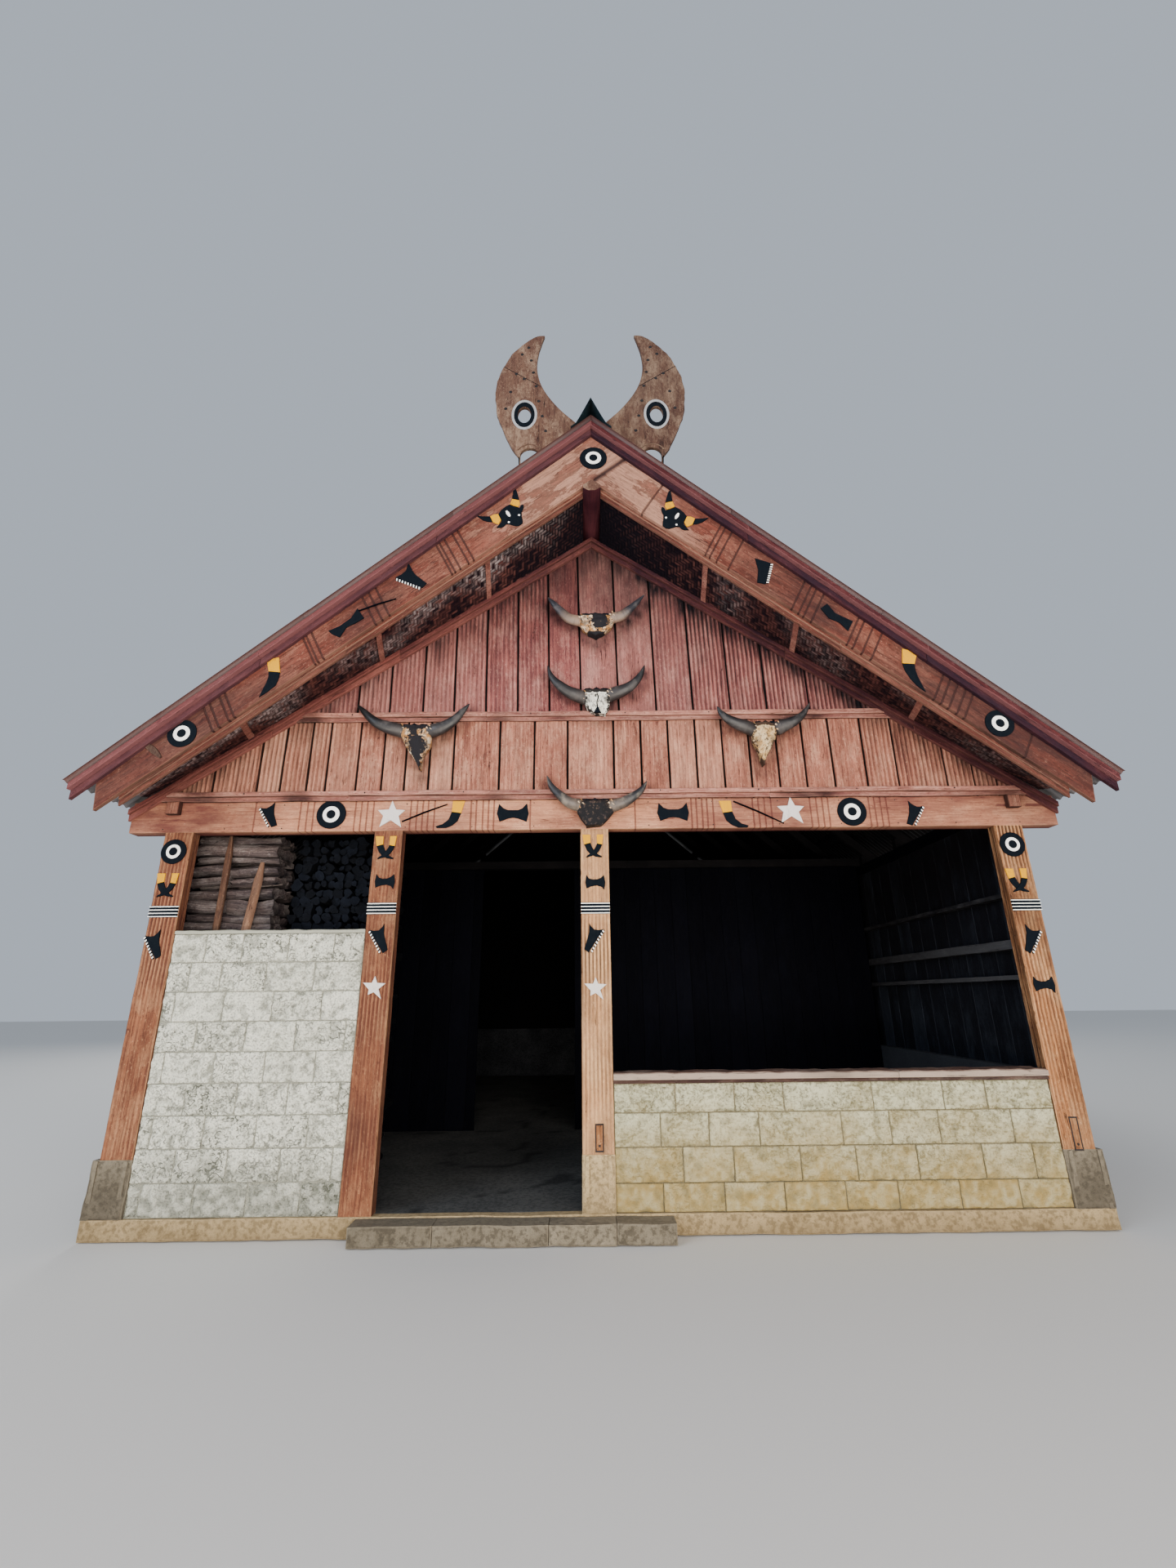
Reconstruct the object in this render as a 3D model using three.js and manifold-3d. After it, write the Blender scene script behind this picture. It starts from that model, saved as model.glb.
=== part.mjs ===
// A morung, the dormitory house of a hill village: a timber house with an open porch under a carved gable.
// Millimetres, +Z up, X across the front, Y from the front to the back. Inside this file heights count
// from the porch floor and depths from the front face of the posts, and the last lines put the origin
// on the ground.
import * as THREE from 'three';
import { mergeVertices } from 'three/addons/utils/BufferGeometryUtils.js';
import Module from 'manifold-3d';

const wasm = await Module();
wasm.setup();

// Driving dimensions
const GAP = 0.3;
const HALF_WIDTH = 3890;
const HOUSE_LENGTH = 9600;
const PORCH_DEPTH = 3350;
const PLINTH_DROP = 150;
const PLINTH_EDGE = 50;

const POST_DEPTH = 120;
const POST_WIDTH = 255;
const ENTRANCE_LEFT = -1870;
const ENTRANCE_RIGHT = -7;
const PEDESTAL_HEIGHT = 400;
const PEDESTAL_PROUD = 20;
const PEDESTAL_BACK = 150;

const LINTEL_BOTTOM = 3020;
const LINTEL_TOP = 3300;
const LINTEL_DEPTH = 135;
const LINTEL_REACH = 4220;
const PLATE_BOTTOM = 3180;
const PLATE_HEIGHT = 115;
const PLATE_INNER = 3775;
const PLATE_WIDTH = 110;
const PLATE_PROUD = 60;

const ROOF_APEX = 7001;
const ROOF_FALL = 0.8785;
const ROOF_SHEET = 30;
const EAVE_REACH = 4275;
const ROOF_FRONT = -785;
const REAR_OVERHANG = 420;
const RIDGE_FRONT = -800;

const BARGE_FRONT = -660;
const BARGE_THICKNESS = 40;
const BARGE_LOW_APEX = 6328;
const BARGE_LOW_FALL = 0.806;
const BARGE_END_LOW = 4073;
const BARGE_END_TOP = 4110;
const STRIP_DROP = 75;
const STRIP_RISE = 50;
const STRIP_REACH = 3915;
const STRIP_THICKNESS = 35;
const TRIM_LOW_DEPTH = 130;
const TRIM_STEP_DEPTH = 58;

const SOFFIT_APEX = 6165;
const SOFFIT_FALL = 0.695;
const MOULDING_DEPTH = 105;
const MOULDING_PROUD = 60;
const BOARD_THICKNESS = 30;
const RAIL_BOTTOM = 4085;
const RAIL_HEIGHT = 85;
const RAIL_PROUD = 50;
const RAIL_CLEAR = RAIL_BOTTOM + RAIL_HEIGHT + GAP;

const BEAM_HALF = 85;
const BEAM_FRONT = -710;
const BEAM_BOTTOM = 6166;

const PURLIN_DEPTH = 90;
const PURLIN_LAP = 8;
const RIDGE_CAP_BACK = 15;
const REAR_SET_IN = 60;
const REAR_FACE_IN = 20;

const STONE_THICKNESS = 150;
const STONE_SET_BACK = 10;
const LOW_WALL_TOP = 905;
const CAP_HEIGHT = 80;
const TALL_WALL_TOP = 2150;
const SIDE_WALL_TOP = 940;
const SIDE_BOARD_OUTER = 3860;
const SIDE_BOARD_THICKNESS = 40;
const SIDE_BOARD_INNER = SIDE_BOARD_OUTER - SIDE_BOARD_THICKNESS;

const SHELF_REACH = 90;

const DOOR_LEFT = -1520;
const DOOR_RIGHT = -250;

const HORN_FRONT = -620;
const HORN_THICKNESS = 40;

// Materials
function finish(color, roughness, metalness = 0) {
  return new THREE.MeshStandardMaterial({ color, roughness, metalness });
}
const redWood = finish(0x8c4f3c, 0.75);
const postWood = finish(0xa8704e, 0.75);
const trimWood = finish(0x7a3230, 0.6);
const darkWood = finish(0x3a2c24, 0.85);
const sheetMetal = finish(0x5a6168, 0.5, 0.6);
const ridgeMetal = finish(0x1f3138, 0.5, 0.6);
const matting = finish(0x4b3a28, 0.9);
const greyStone = finish(0xb0a684, 0.9);
const whiteStone = finish(0xc9c8bd, 0.9);
const concrete = finish(0x9a9078, 0.95);
const hornWood = finish(0xa98a70, 0.8);
const bone = finish(0x6b5a48, 0.8);
const logWood = finish(0x6b5442, 0.9);

const house = new THREE.Group();

// Ways of making pieces

// Adds one named piece made of that geometry.
function add(name, geometry, material) {
  const mesh = new THREE.Mesh(geometry, material);
  mesh.name = name;
  house.add(mesh);
  return mesh;
}

// A block between two values along each axis.
function block([x0, x1], [y0, y1], [z0, z1]) {
  const geometry = new THREE.BoxGeometry(x1 - x0, y1 - y0, z1 - z0);
  return geometry.translate((x0 + x1) / 2, (y0 + y1) / 2, (z0 + z1) / 2);
}

// Pairs of numbers as points.
function points(pairs) {
  return pairs.map(([x, z]) => new THREE.Vector2(x, z));
}

// A plate whose outline is drawn in X and Z, between two depths.
function plate(outline, front, back) {
  const drawn = outline instanceof THREE.Shape;
  const shape = drawn ? outline : new THREE.Shape(points(outline));
  const settings = { depth: back - front, bevelEnabled: false, curveSegments: 6 };
  const geometry = new THREE.ExtrudeGeometry(shape, settings);
  return geometry.rotateX(Math.PI / 2).translate(0, back, 0);
}

// A block bent to shape: place gives the point for a share of the way across, back and up.
function bent(across, deep, place) {
  const geometry = new THREE.BoxGeometry(1, 1, 1, across, deep, 1);
  const at = geometry.attributes.position;
  for (let i = 0; i < at.count; i += 1) {
    at.setXYZ(i, ...place(at.getX(i) + 0.5, at.getY(i) + 0.5, at.getZ(i) + 0.5));
  }
  return geometry;
}

// A closed solid that can be joined to others and cut by them.
function solid(geometry) {
  const bare = geometry.clone();
  bare.deleteAttribute('normal');
  bare.deleteAttribute('uv');
  const merged = mergeVertices(bare, 1e-3);
  const vertProperties = new Float32Array(merged.attributes.position.array);
  const triVerts = new Uint32Array(merged.index.array);
  return new wasm.Manifold(new wasm.Mesh({ numProp: 3, vertProperties, triVerts }));
}

// Turns a joined or cut solid back into a geometry.
function surface(body) {
  const mesh = body.getMesh();
  const geometry = new THREE.BufferGeometry();
  const places = new Float32Array(mesh.vertProperties);
  geometry.setAttribute('position', new THREE.BufferAttribute(places, 3));
  geometry.setIndex(new THREE.BufferAttribute(new Uint32Array(mesh.triVerts), 1));
  return geometry;
}

// Joins overlapping geometries into one.
function union(...parts) {
  return surface(parts.map(solid).reduce((whole, part) => whole.add(part)));
}

// The same outline on the other side of the house.
function mirrored(outline) {
  return outline.map(([x, z]) => [-x, z]);
}

// Adds a piece on each side from an outline drawn for the right side.
function addPair(name, outline, front, back, material) {
  add(`${name}_right`, plate(outline, front, back), material);
  add(`${name}_left`, plate(mirrored(outline), front, back), material);
}

// A sloping band from one distance off the centre to another, between two drops below a falling line.
function band(apex, fall, [x0, x1], [drop0, drop1]) {
  const height = (x, drop) => apex - fall * x - drop;
  return [
    [x0, height(x0, drop0)], [x1, height(x1, drop0)],
    [x1, height(x1, drop1)], [x0, height(x0, drop1)],
  ];
}

const ROOF_BACK = HOUSE_LENGTH + REAR_OVERHANG;
const OUTER_POST_INNER = HALF_WIDTH - POST_WIDTH;
const PLINTH_HALF = HALF_WIDTH + PLINTH_EDGE;

// Floor and foundations

function addFloor() {
  const slab = block([-PLINTH_HALF, PLINTH_HALF], [-PEDESTAL_PROUD, HOUSE_LENGTH], [-PLINTH_DROP, 0]);
  add('floor_slab', slab, concrete);
  const stepDepth = 210;
  const stepReach = [-1850, 560];
  const stepTop = -4;
  const stepBack = -PEDESTAL_PROUD - GAP;
  const step = block(stepReach, [stepBack - stepDepth, stepBack], [-PLINTH_DROP, stepTop]);
  add('entrance_step', step, concrete);
}

function addPedestals() {
  const depth = [-PEDESTAL_PROUD, PEDESTAL_BACK];
  const height = [GAP, PEDESTAL_HEIGHT];
  const entrance = [ENTRANCE_RIGHT - POST_WIDTH / 2, ENTRANCE_RIGHT + POST_WIDTH / 2];
  add('pedestal_entrance_right', block(entrance, depth, height), concrete);
  add('pedestal_outer_right', block([OUTER_POST_INNER, PLINTH_HALF], depth, height), concrete);
  add('pedestal_outer_left', block([-PLINTH_HALF, -OUTER_POST_INNER], depth, height), concrete);
}

// Timber front: posts, lintel, ledge and rail

function addPost(name, centre, foot) {
  const across = [centre - POST_WIDTH / 2, centre + POST_WIDTH / 2];
  add(name, block(across, [0, POST_DEPTH], [foot + GAP, LINTEL_BOTTOM - GAP]), postWood);
}

function addPosts() {
  const outer = HALF_WIDTH - POST_WIDTH / 2;
  addPost('post_outer_left', -outer, PEDESTAL_HEIGHT);
  addPost('post_entrance_left', ENTRANCE_LEFT, 0);
  addPost('post_entrance_right', ENTRANCE_RIGHT, PEDESTAL_HEIGHT);
  addPost('post_outer_right', outer, PEDESTAL_HEIGHT);
}

function addLintel() {
  const notchInner = PLATE_INNER - GAP;
  const notchOuter = PLATE_INNER + PLATE_WIDTH + GAP;
  const notchFoot = PLATE_BOTTOM - GAP;
  const shoulder = (SOFFIT_APEX - LINTEL_TOP) / SOFFIT_FALL;
  const cheek = 3200;
  const half = [
    [LINTEL_REACH, LINTEL_BOTTOM], [LINTEL_REACH, cheek], [shoulder, LINTEL_TOP],
    [notchOuter, LINTEL_TOP], [notchOuter, notchFoot], [notchInner, notchFoot], [notchInner, LINTEL_TOP],
  ];
  const outline = [...half, ...mirrored(half).reverse()];
  add('lintel', plate(outline, 0, LINTEL_DEPTH), redWood);
}

// A stepped rail across the gable, with ends cut to the slope of the rake mouldings.
function addGableRail(name, foot, [lowDepth, lowTop], [proud, top]) {
  const reach = (z) => (SOFFIT_APEX - MOULDING_DEPTH - z) / SOFFIT_FALL - GAP;
  const level = (z0, z1, front) => {
    const outline = [[-reach(z0), z0], [reach(z0), z0], [reach(z1), z1], [-reach(z1), z1]];
    return plate(outline, -front, -GAP);
  };
  add(name, union(level(foot, top, lowDepth), level(lowTop, top, proud)), redWood);
}

function addGableRails() {
  addGableRail('lintel_ledge', LINTEL_TOP + GAP, [35, LINTEL_TOP + 40], [65, LINTEL_TOP + 80]);
  const railMiddle = RAIL_BOTTOM + 0.45 * RAIL_HEIGHT;
  addGableRail('gable_rail', RAIL_BOTTOM, [28, railMiddle], [RAIL_PROUD, RAIL_BOTTOM + RAIL_HEIGHT]);
}

// Gable wall of upright boards in two tiers

function soffitLine(x) {
  return SOFFIT_APEX - SOFFIT_FALL * Math.abs(x);
}

function addGableWall() {
  const tierJoint = RAIL_BOTTOM + RAIL_HEIGHT / 2;
  const foot = LINTEL_TOP + GAP;
  const footReach = (SOFFIT_APEX - foot) / SOFFIT_FALL;
  const jointReach = (SOFFIT_APEX - tierJoint) / SOFFIT_FALL;
  const lower = [
    [-footReach, foot], [footReach, foot], [jointReach, tierJoint], [-jointReach, tierJoint],
  ];
  const upperFoot = tierJoint + GAP;
  const upperReach = (SOFFIT_APEX - upperFoot) / SOFFIT_FALL;
  const upper = [[-upperReach, upperFoot], [upperReach, upperFoot], [0, SOFFIT_APEX]];
  add('gable_boards_lower', plate(lower, 0, BOARD_THICKNESS), redWood);
  add('gable_boards_upper', plate(upper, 0, BOARD_THICKNESS), redWood);
}

// The two-step moulding that runs up both edges of the gable wall, under the soffit.
function addRakeMouldings() {
  const reach = [GAP, 4225];
  const step = 48;
  const proud = -MOULDING_PROUD;
  const proudStep = -35;
  const upper = band(SOFFIT_APEX, SOFFIT_FALL, reach, [0, step]);
  const whole = band(SOFFIT_APEX, SOFFIT_FALL, reach, [0, MOULDING_DEPTH]);
  const right = union(plate(whole, proudStep, -GAP), plate(upper, proud, -GAP));
  const left = union(plate(mirrored(whole), proudStep, -GAP), plate(mirrored(upper), proud, -GAP));
  add('rake_moulding_right', right, redWood);
  add('rake_moulding_left', left, redWood);
}

// Roof edge: barge boards, the strips under them, the trims over them and the soffit behind

function bargeLow(x) {
  return BARGE_LOW_APEX - BARGE_LOW_FALL * x;
}

function roofUnder(x) {
  return ROOF_APEX - ROOF_FALL * x;
}

function addBargeBoards() {
  const back = BARGE_FRONT + BARGE_THICKNESS;
  const seatDrop = GAP;
  const crossing = (roofUnder(0) - seatDrop - BARGE_LOW_APEX) / (BARGE_LOW_FALL + ROOF_FALL);
  const crossingHeight = BARGE_LOW_APEX + BARGE_LOW_FALL * crossing;
  const top = (x) => roofUnder(x) - seatDrop;
  const left = [
    [-BARGE_END_LOW, bargeLow(BARGE_END_LOW)], [0, BARGE_LOW_APEX], [crossing, crossingHeight],
    [0, top(0)], [-BARGE_END_TOP, top(BARGE_END_TOP)],
  ];
  const right = [
    [BARGE_END_LOW, bargeLow(BARGE_END_LOW)], [BARGE_END_TOP, top(BARGE_END_TOP)],
    [crossing + 1, top(crossing + 1)], [1, bargeLow(1)],
  ];
  add('barge_board_left', plate(left, BARGE_FRONT, back), redWood);
  add('barge_board_right', plate(right, BARGE_FRONT, back), redWood);
  const stripFront = back + GAP;
  const stripBack = stripFront + STRIP_THICKNESS;
  const stripReach = [BEAM_HALF + GAP, STRIP_REACH];
  const strip = band(BARGE_LOW_APEX, BARGE_LOW_FALL, stripReach, [-STRIP_RISE, STRIP_DROP]);
  addPair('barge_strip', strip, stripFront, stripBack, redWood);
}

function addRakeTrims() {
  const back = BARGE_FRONT - GAP;
  const lowFront = -700;
  const upFront = -745;
  const reach = [GAP, EAVE_REACH - 15];
  const whole = band(ROOF_APEX, ROOF_FALL, reach, [GAP, TRIM_LOW_DEPTH]);
  const upper = band(ROOF_APEX, ROOF_FALL, reach, [GAP, TRIM_STEP_DEPTH]);
  add('rake_trim_right', union(plate(whole, lowFront, back), plate(upper, upFront, back)), trimWood);
  const left = union(plate(mirrored(whole), lowFront, back), plate(mirrored(upper), upFront, back));
  add('rake_trim_left', left, trimWood);
}

// A mat from the foot of the barge board to the top of the moulding, with battens under it.
function addSoffit(name, side, battenShares) {
  const front = BARGE_FRONT + BARGE_THICKNESS + STRIP_THICKNESS + 2 * GAP;
  const back = -MOULDING_PROUD - GAP;
  const matTop = 20;
  const battenDepth = 8;
  const inner = BEAM_HALF + GAP;
  const frontReach = 3830;
  const backReach = 4070;
  const frontDrop = 52;
  const backDrop = 15;
  const battenShare = 0.012;
  const under = (t, s) => {
    const x = inner + t * (frontReach + s * (backReach - frontReach) - inner);
    const frontHeight = bargeLow(x) - frontDrop;
    return [x, front + s * (back - front), frontHeight + s * (soffitLine(x) - backDrop - frontHeight)];
  };
  const panel = (across, [t0, t1], [low, high]) => bent(across, 4, (u, s, w) => {
    const t = side > 0 ? t0 + u * (t1 - t0) : t1 - u * (t1 - t0);
    const [x, y, z] = under(t, s);
    return [side * x, y, z + low + w * (high - low)];
  });
  const mat = panel(24, [0, 1], [battenDepth, matTop]);
  const battens = battenShares.map((t) => panel(1, [t, t + battenShare], [0, matTop / 2]));
  add(name, union(mat, ...battens), matting);
}

// Roof covering and ridge

function addRoof() {
  const sheet = band(ROOF_APEX, ROOF_FALL, [GAP, EAVE_REACH], [0, -ROOF_SHEET]);
  addPair('roof', sheet, ROOF_FRONT, ROOF_BACK, sheetMetal);
  const top = (x) => roofUnder(x) + ROOF_SHEET;
  const flange = 200;
  const foldFoot = 148;
  const foldTop = 7242;
  const thick = 10;
  const hollow = foldFoot - thick;
  const outer = [[flange, top(flange) + thick], [foldFoot, top(foldFoot) + thick]];
  const inner = [[hollow, top(hollow) + GAP], [flange, top(flange) + GAP]];
  const outline = [
    ...outer, [0, foldTop], ...mirrored(outer).reverse(),
    ...mirrored(inner).reverse(), [0, foldTop - 2 * thick], ...inner,
  ];
  add('ridge_cap', plate(outline, RIDGE_FRONT, ROOF_BACK + RIDGE_CAP_BACK), ridgeMetal);
}

function addRidgeBeam() {
  const shoulder = BEAM_BOTTOM + 35;
  const cheek = BEAM_BOTTOM + 68;
  const crown = BEAM_BOTTOM + 136;
  const section = [
    [-BEAM_HALF, shoulder], [-30, BEAM_BOTTOM], [30, BEAM_BOTTOM], [BEAM_HALF, shoulder],
    [BEAM_HALF, cheek], [0, crown], [-BEAM_HALF, cheek],
  ];
  const beamBack = HOUSE_LENGTH - REAR_SET_IN - GAP;
  const boardHalf = 25;
  const boardFront = BARGE_FRONT + BARGE_THICKNESS + GAP;
  const boardHeight = [crown - 40, roofUnder(boardHalf) - 10];
  const ridgeBoard = block([-boardHalf, boardHalf], [boardFront, beamBack], boardHeight);
  add('ridge_beam', union(plate(section, BEAM_FRONT, beamBack), ridgeBoard), trimWood);
}

// Rafters and purlins of one roof slope, joined where they cross.
function addRoofFrame(name, side) {
  const purlinHalf = 35;
  const rafterDepth = 230;
  const rafterWidth = 80;
  const rafterCount = 10;
  const firstRafter = 150;
  const inner = 25 + GAP;
  const rafterReach = 4150;
  const heel = [PLATE_INNER + 5, PLATE_INNER + PLATE_WIDTH - 5];
  const heelLap = 60;
  const sided = (outline) => (side > 0 ? outline : mirrored(outline));
  const pitch = (HOUSE_LENGTH - 2 * firstRafter - rafterWidth) / (rafterCount - 1);
  const parts = [];
  for (const centre of [300, 1400, 2500, 3600]) {
    const across = [centre - purlinHalf, centre + purlinHalf];
    const outline = band(ROOF_APEX, ROOF_FALL, across, [GAP, PURLIN_DEPTH + PURLIN_LAP]);
    parts.push(plate(sided(outline), BARGE_FRONT + BARGE_THICKNESS + GAP, ROOF_BACK - REAR_SET_IN));
  }
  for (let i = 0; i < rafterCount; i += 1) {
    const front = firstRafter + i * pitch;
    const rafter = band(ROOF_APEX, ROOF_FALL, [inner, rafterReach], [PURLIN_DEPTH, rafterDepth]);
    parts.push(plate(sided(rafter), front, front + rafterWidth));
    const heelTop = roofUnder(heel[1]) - rafterDepth + heelLap;
    const foot = PLATE_BOTTOM + PLATE_HEIGHT + GAP;
    const seat = [[heel[0], foot], [heel[1], foot], [heel[1], heelTop], [heel[0], heelTop]];
    parts.push(plate(sided(seat), front, front + rafterWidth));
  }
  add(name, union(...parts), darkWood);
}

function addWallPlates() {
  const outline = [
    [PLATE_INNER, PLATE_BOTTOM], [PLATE_INNER + PLATE_WIDTH, PLATE_BOTTOM],
    [PLATE_INNER + PLATE_WIDTH, PLATE_BOTTOM + PLATE_HEIGHT], [PLATE_INNER, PLATE_BOTTOM + PLATE_HEIGHT],
  ];
  addPair('wall_plate', outline, -PLATE_PROUD, HOUSE_LENGTH - REAR_SET_IN - GAP, redWood);
}

// Ridge horns: a pair of crescent boards that stand on the roof beside the ridge cap

function hornOutline() {
  const seat = (x) => roofUnder(x) + ROOF_SHEET + 10.5;
  const tip = [440, 8320];
  const outerCurve = [
    [560, 8290], [690, 8200], [830, 8020], [930, 7780], [975, 7500], [950, 7210], [860, 6950], [700, 6620],
  ];
  const innerCurve = [
    [200, 7150], [300, 7275], [418, 7437], [497, 7591], [545, 7760], [552, 7930], [530, 8100],
  ];
  const biteCentre = [610, 6690];
  const biteRadius = 95;
  const shape = new THREE.Shape();
  shape.moveTo(...tip);
  shape.splineThru(points(outerCurve));
  shape.lineTo(690, seat(690));
  shape.lineTo(150, seat(150));
  shape.lineTo(153, 7106);
  shape.splineThru(points([...innerCurve, [500, 8210], tip]));
  return { shape, biteCentre, biteRadius, seat };
}

function addHorn(name, side) {
  const { shape, biteCentre, biteRadius, seat } = hornOutline();
  const eye = new THREE.Path();
  eye.absellipse(674, 7213, 67, 108, 0, 2 * Math.PI, false);
  shape.holes.push(eye);
  const back = HORN_FRONT + HORN_THICKNESS;
  const board = solid(plate(shape, HORN_FRONT, back));
  const cut = new THREE.Shape();
  cut.moveTo(biteCentre[0] - biteRadius, seat(biteCentre[0]) - 400);
  cut.lineTo(biteCentre[0] + biteRadius * 0.8, seat(biteCentre[0]) - 400);
  cut.lineTo(biteCentre[0] + biteRadius * 0.8, biteCentre[1]);
  cut.absarc(biteCentre[0], biteCentre[1], biteRadius, 0, Math.PI, false);
  const bite = solid(plate(cut, HORN_FRONT - 10, back + 10));
  const geometry = surface(board.subtract(bite));
  if (side < 0) {
    geometry.applyMatrix4(new THREE.Matrix4().makeScale(-1, 1, 1));
    const index = geometry.index.array;
    for (let i = 0; i < index.length; i += 3) {
      [index[i], index[i + 1]] = [index[i + 1], index[i]];
    }
  }
  add(name, geometry, hornWood);
}

// Buffalo skulls hung on the gable: a flat-backed head and two thick curved horns. Each horn is given by
// the middle of its line from the head to the tip, and the head by its outline.

const SKULLS = {
  skull_top: {
    left: [[-128, 5140], [-229, 5149], [-317, 5227], [-395, 5326], [-445, 5392]],
    right: [[203, 5170], [285, 5175], [362, 5233], [443, 5319], [525, 5414]],
    head: [[-121, 5206], [178, 5208], [214, 5118], [123, 4999], [35, 4961], [-47, 4993], [-134, 5109]],
  },
  skull_middle: {
    left: [[-105, 4300], [-223, 4336], [-320, 4404], [-401, 4500], [-440, 4622]],
    right: [[165, 4322], [269, 4349], [369, 4404], [453, 4507], [499, 4620]],
    head: [[-83, 4368], [142, 4379], [159, 4299], [150, RAIL_CLEAR], [-65, RAIL_CLEAR], [-95, 4300]],
    muzzle: [[-83, 4240], [155, 4240], [138, 4153], [107, 4116], [-1, 4117], [-61, 4168]],
  },
  skull_left: {
    left: [[-1817, 3969], [-1937, 3993], [-2051, 4043], [-2161, 4143], [-2238, 4226]],
    right: [[-1537, 3959], [-1433, 3978], [-1321, 4044], [-1240, 4143], [-1178, 4224]],
    head: [[-1810, 4016], [-1571, 4017], [-1523, 3898], [-1523, 3804], [-1611, 3579], [-1744, 3781]],
  },
  skull_right: {
    left: [[1486, 3958], [1374, 3989], [1278, 4032], [1208, 4100], [1170, 4177]],
    right: [[1737, 3965], [1808, 3987], [1895, 4023], [1980, 4093], [2056, 4206]],
    head: [[1527, 4014], [1711, 4020], [1719, 3938], [1652, 3760], [1570, 3597], [1487, 3820]],
  },
  skull_lintel: {
    left: [[-144, 3220], [-224, 3236], [-305, 3297], [-392, 3391], [-435, 3496]],
    right: [[154, 3211], [246, 3232], [340, 3283], [424, 3353], [475, 3435]],
    head: [[-126, 3267], [126, 3264], [170, 3153], [53, 3026], [-74, 3024], [-164, 3156]],
  },
};

function taper(start, end, startRadius, endRadius) {
  const run = new THREE.Vector3().subVectors(end, start);
  const geometry = new THREE.CylinderGeometry(endRadius, startRadius, run.length(), 8);
  const turn = new THREE.Quaternion();
  turn.setFromUnitVectors(new THREE.Vector3(0, 1, 0), run.clone().normalize());
  geometry.applyQuaternion(turn);
  const middle = new THREE.Vector3().addVectors(start, end).multiplyScalar(0.5);
  return geometry.translate(middle.x, middle.y, middle.z);
}

function addSkull(name, { head, muzzle, left, right }) {
  const front = -130;
  const hornDepth = -115;
  const radii = [54, 50, 42, 26, 8];
  const parts = [plate(head, front, -GAP)];
  if (muzzle) {
    parts.push(plate(muzzle, front, -RAIL_PROUD - GAP));
  }
  for (const line of [left, right]) {
    const route = line.map(([x, z]) => new THREE.Vector3(x, hornDepth, z));
    for (let i = 0; i < route.length - 1; i += 1) {
      parts.push(taper(route[i], route[i + 1], radii[i], radii[i + 1]));
      parts.push(new THREE.SphereGeometry(radii[i], 8, 6).translate(...route[i].toArray()));
    }
  }
  add(name, union(...parts), bone);
}

// Walls of stone blocks and boards

function addFrontWalls() {
  const depth = [STONE_SET_BACK, STONE_SET_BACK + STONE_THICKNESS];
  const rightReach = [ENTRANCE_RIGHT + POST_WIDTH / 2 + GAP, OUTER_POST_INNER - GAP];
  const leftReach = [-OUTER_POST_INNER + GAP, ENTRANCE_LEFT - POST_WIDTH / 2 - GAP];
  const capHeight = [LOW_WALL_TOP + GAP, LOW_WALL_TOP + CAP_HEIGHT];
  add('front_wall_right', block(rightReach, depth, [GAP, LOW_WALL_TOP]), greyStone);
  const capDepth = [-25, depth[1] + 20];
  add('front_wall_cap', block(rightReach, capDepth, capHeight), postWood);
  add('front_wall_left', block(leftReach, depth, [GAP, TALL_WALL_TOP]), whiteStone);
}

function addSideWalls() {
  const front = PEDESTAL_BACK + GAP;
  const base = [
    [HALF_WIDTH - STONE_THICKNESS, GAP], [HALF_WIDTH, GAP], [HALF_WIDTH, SIDE_WALL_TOP],
    [HALF_WIDTH - STONE_THICKNESS, SIDE_WALL_TOP],
  ];
  addPair('side_wall_stone', base, front, HOUSE_LENGTH, greyStone);
  const foot = SIDE_WALL_TOP + GAP;
  const top = PLATE_BOTTOM - GAP;
  const shelf = SIDE_BOARD_INNER - SHELF_REACH;
  const plain = [
    [SIDE_BOARD_INNER, foot], [SIDE_BOARD_OUTER, foot], [SIDE_BOARD_OUTER, top], [SIDE_BOARD_INNER, top],
  ];
  const shelved = [...plain];
  for (const [height, under] of [[2440, 2400], [2025, 1945], [1720, 1680]]) {
    shelved.push([SIDE_BOARD_INNER, height], [shelf, height], [shelf, under], [SIDE_BOARD_INNER, under]);
  }
  const back = HOUSE_LENGTH - REAR_FACE_IN;
  const shelfBack = HOUSE_LENGTH - REAR_SET_IN - GAP;
  const right = union(plate(plain, front, back), plate(shelved, front, shelfBack));
  add('side_wall_boards_left', plate(mirrored(plain), front, back), redWood);
  add('side_wall_boards_right', right, redWood);
}

function addRearWall() {
  const inner = HALF_WIDTH - STONE_THICKNESS - GAP;
  const base = block([-inner, inner], [HOUSE_LENGTH - STONE_THICKNESS, HOUSE_LENGTH], [GAP, SIDE_WALL_TOP]);
  add('rear_wall_stone', base, greyStone);
  const reach = SIDE_BOARD_INNER - GAP;
  const foot = SIDE_WALL_TOP + GAP;
  const top = (x) => roofUnder(x) - PURLIN_DEPTH - PURLIN_LAP - 2 * GAP;
  const outline = [[-reach, foot], [reach, foot], [reach, top(reach)], [0, top(0)], [-reach, top(reach)]];
  const boards = plate(outline, HOUSE_LENGTH - REAR_SET_IN, HOUSE_LENGTH - REAR_FACE_IN);
  add('rear_wall_boards', boards, redWood);
  const bargeFront = ROOF_BACK - REAR_SET_IN + GAP;
  const bargeDepth = 260;
  const bargeThickness = 35;
  const barge = band(ROOF_APEX, ROOF_FALL, [GAP, BARGE_END_TOP], [GAP, bargeDepth]);
  addPair('rear_barge_board', barge, bargeFront, bargeFront + bargeThickness, redWood);
}

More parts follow.
